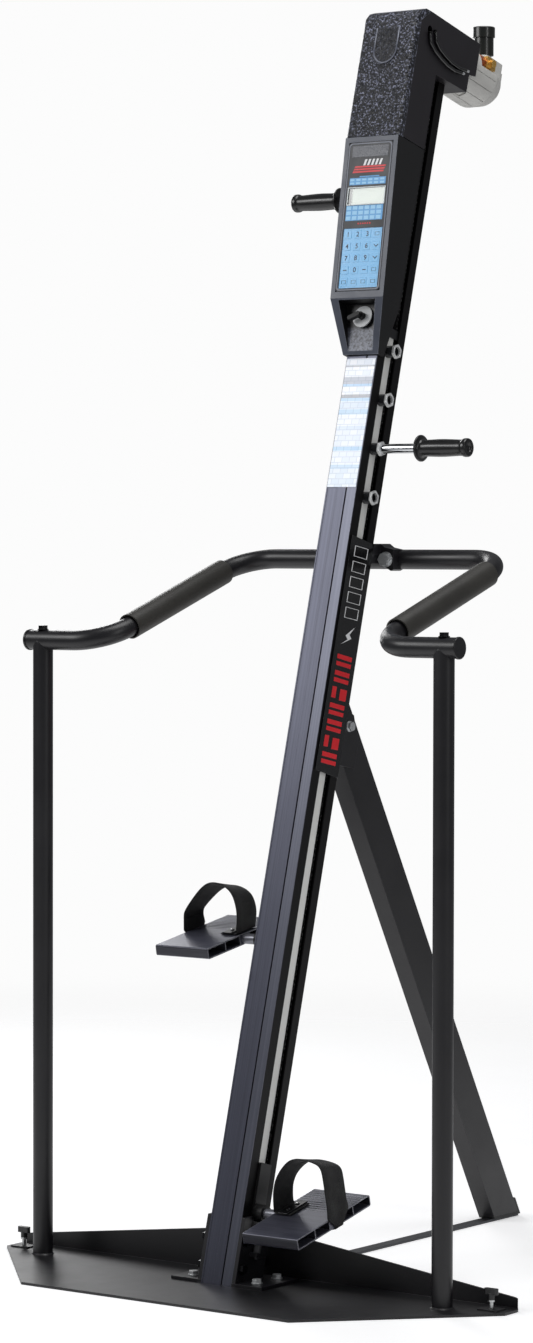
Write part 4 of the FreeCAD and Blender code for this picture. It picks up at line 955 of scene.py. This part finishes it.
# ---- resistance unit and leads -------------------
# A sand cast aluminium drum with a black capped valve, a brass elbow and a copper nut.
# Two glossy black leads are clipped along the right plate, with crimped metal ends.
cast, *_ = finish("sand_cast_aluminium", "b2b1ad", "d0cfcb", "e6e5e1", 0.5, 2.2, 0.4,
                  metallic=0.1, patch_mm=30.0, round_mm=2.0)
give(cast, "pump_body")
cap_black, *_ = finish("black_valve_cap", "0a0c0a", "151814", "3d403a", 0.3, 2.0, 0.04, coat=0.2)
give(cap_black, "pump_knob")
brass, shader, place, colour, _ = finish("machined_brass", "c89a4c", "e2b968", "f4dca0", 0.30, 1.5,
                                         0.03, metallic=0.7, patch_mm=12.0)
# The nut nearer the head is copper.
NUT_END = 0.1951             # metres behind the column's face
SLEEVE_END = 0.02
fitting = add(brass, "SeparateXYZ", Vector=column_space(brass, place))
nut_part = add(brass, "Math", {"operation": "LESS_THAN"}, in0=fitting.outputs["Y"],
               in1=NUT_END)
mixed = add(brass, "Mix", {"data_type": "RGBA"}, in0=nut_part, in6=colour, in7=linear("b4633c"))
feed(shader, "Base Color", mixed)
give(brass, "pump_fittings")
lead_pvc, *_ = finish("gloss_black_lead", "060607", "0e0e10", "2c2c2e", 0.18, 8.0, 0.02, coat=0.4)
give(lead_pvc, "cables")
# The ends beside the hood are black sleeves, the ends at the back bright crimps.
crimps, shader, place, colour, _ = zinc_plate("crimps_and_black_sleeves")
lead_place = add(crimps, "SeparateXYZ", Vector=column_space(crimps, place))
front_end = add(crimps, "Math", {"operation": "LESS_THAN"}, in0=lead_place.outputs["Y"],
                in1=SLEEVE_END)
crimp_colour = add(crimps, "Mix", {"data_type": "RGBA"}, in0=front_end, in6=colour,
                   in7=linear("0b0b0c"))
feed(shader, "Base Color", crimp_colour)
give(crimps, "cable_ferrules")


# ---- floor, lights and camera --------------------
# A pale floor that fades into a pale background, with large soft lights.
FLOOR_R = 6.0                # metres
FADE_FROM = 1.6
FADE_TO = 5.5
FLOOR_SIDES = 96
floor_paint, shader, place, *_ = finish("pale_floor", "e9e9ea", "eeeeef", "f4f4f4", 0.7, 30.0,
                                        0.01, patch_mm=900.0, wear_and_highlight=0.0)
shader.inputs["Emission Color"].default_value = linear("ffffff")
shader.inputs["Emission Strength"].default_value = 0.42
distance = add(floor_paint, "VectorMath", {"operation": "LENGTH"}, in0=place)
fade = add(floor_paint, "MapRange", {"interpolation_type": "SMOOTHSTEP"},
           Value=distance.outputs["Value"], From_Min=FADE_FROM, From_Max=FADE_TO)
clear = add(floor_paint, "BsdfTransparent")
blend = add(floor_paint, "MixShader", in0=fade, in1=shader, in2=clear)
output = next(n for n in floor_paint.node_tree.nodes if n.bl_idname == "ShaderNodeOutputMaterial")
floor_paint.node_tree.links.new(blend.outputs[0], output.inputs["Surface"])
ring = [(FLOOR_R * math.cos(a), FLOOR_R * math.sin(a), 0.0)
        for a in [2 * math.pi * k / FLOOR_SIDES for k in range(FLOOR_SIDES)]]
floor_mesh = bpy.data.meshes.new("floor")
floor_mesh.from_pydata(ring, [], [tuple(range(FLOOR_SIDES))])
floor_mesh.materials.append(floor_paint)
floor = bpy.data.objects.new("floor", floor_mesh)
bpy.context.scene.collection.objects.link(floor)


def softbox(name, place, target, width, height, power):
    """A rectangular area light that faces its target; sizes in metres, power in watts."""
    light = bpy.data.lights.new(name, "AREA")
    light.shape = "RECTANGLE"
    light.size = width
    light.size_y = height
    light.energy = power
    holder = bpy.data.objects.new(name, light)
    holder.location = place
    holder.rotation_euler = (Vector(target) - Vector(place)).to_track_quat("-Z", "Y").to_euler()
    bpy.context.scene.collection.objects.link(holder)


softbox("front_left_high", (-2.5, -2.9, 3.5), (0, 0.4, 1.5), 2.4, 1.6, 85)
softbox("right_side", (4.2, -0.6, 2.6), (0.2, 0.3, 1.1), 0.5, 2.6, 26)
softbox("overhead", (0.6, 0.4, 4.4), (0, 0.3, 0), 2.0, 2.0, 60)
softbox("back_left", (-3.2, 2.6, 2.4), (0, 0.3, 1.2), 1.2, 2.4, 50)

world = bpy.data.worlds.new("pale_studio")
world.use_nodes = True
tree = world.node_tree
tree.nodes.clear()
seen = tree.nodes.new("ShaderNodeLightPath")
lit = tree.nodes.new("ShaderNodeBackground")
lit.inputs["Color"].default_value = linear("eef0f4")
lit.inputs["Strength"].default_value = 0.20
backdrop = tree.nodes.new("ShaderNodeBackground")
backdrop.inputs["Color"].default_value = linear("fcfcfc")
backdrop.inputs["Strength"].default_value = 1.0
either = tree.nodes.new("ShaderNodeMixShader")
tree.links.new(seen.outputs["Is Camera Ray"], either.inputs[0])
tree.links.new(lit.outputs[0], either.inputs[1])
tree.links.new(backdrop.outputs[0], either.inputs[2])
sky = tree.nodes.new("ShaderNodeOutputWorld")
tree.links.new(either.outputs[0], sky.inputs["Surface"])
bpy.context.scene.world = world
bpy.context.scene.view_settings.view_transform = "Standard"

SENSOR = 36.0                # millimetres, along the long side
LENS = 107.95
CAMERA_AT = (4.439, -5.881, 1.368)
YAW, PITCH, ROLL = math.radians(36.33), math.radians(1.82), math.radians(0.106)
camera_data = bpy.data.cameras.new("camera")
camera_data.sensor_width = SENSOR
camera_data.lens = LENS
camera_data.clip_end = 60.0
camera = bpy.data.objects.new("camera", camera_data)
aim = Matrix.Rotation(YAW, 4, "Z") @ Matrix.Rotation(math.pi / 2 - PITCH, 4, "X")
camera.matrix_world = Matrix.Translation(CAMERA_AT) @ aim @ Matrix.Rotation(ROLL, 4, "Z")
bpy.context.scene.collection.objects.link(camera)
bpy.context.scene.camera = camera
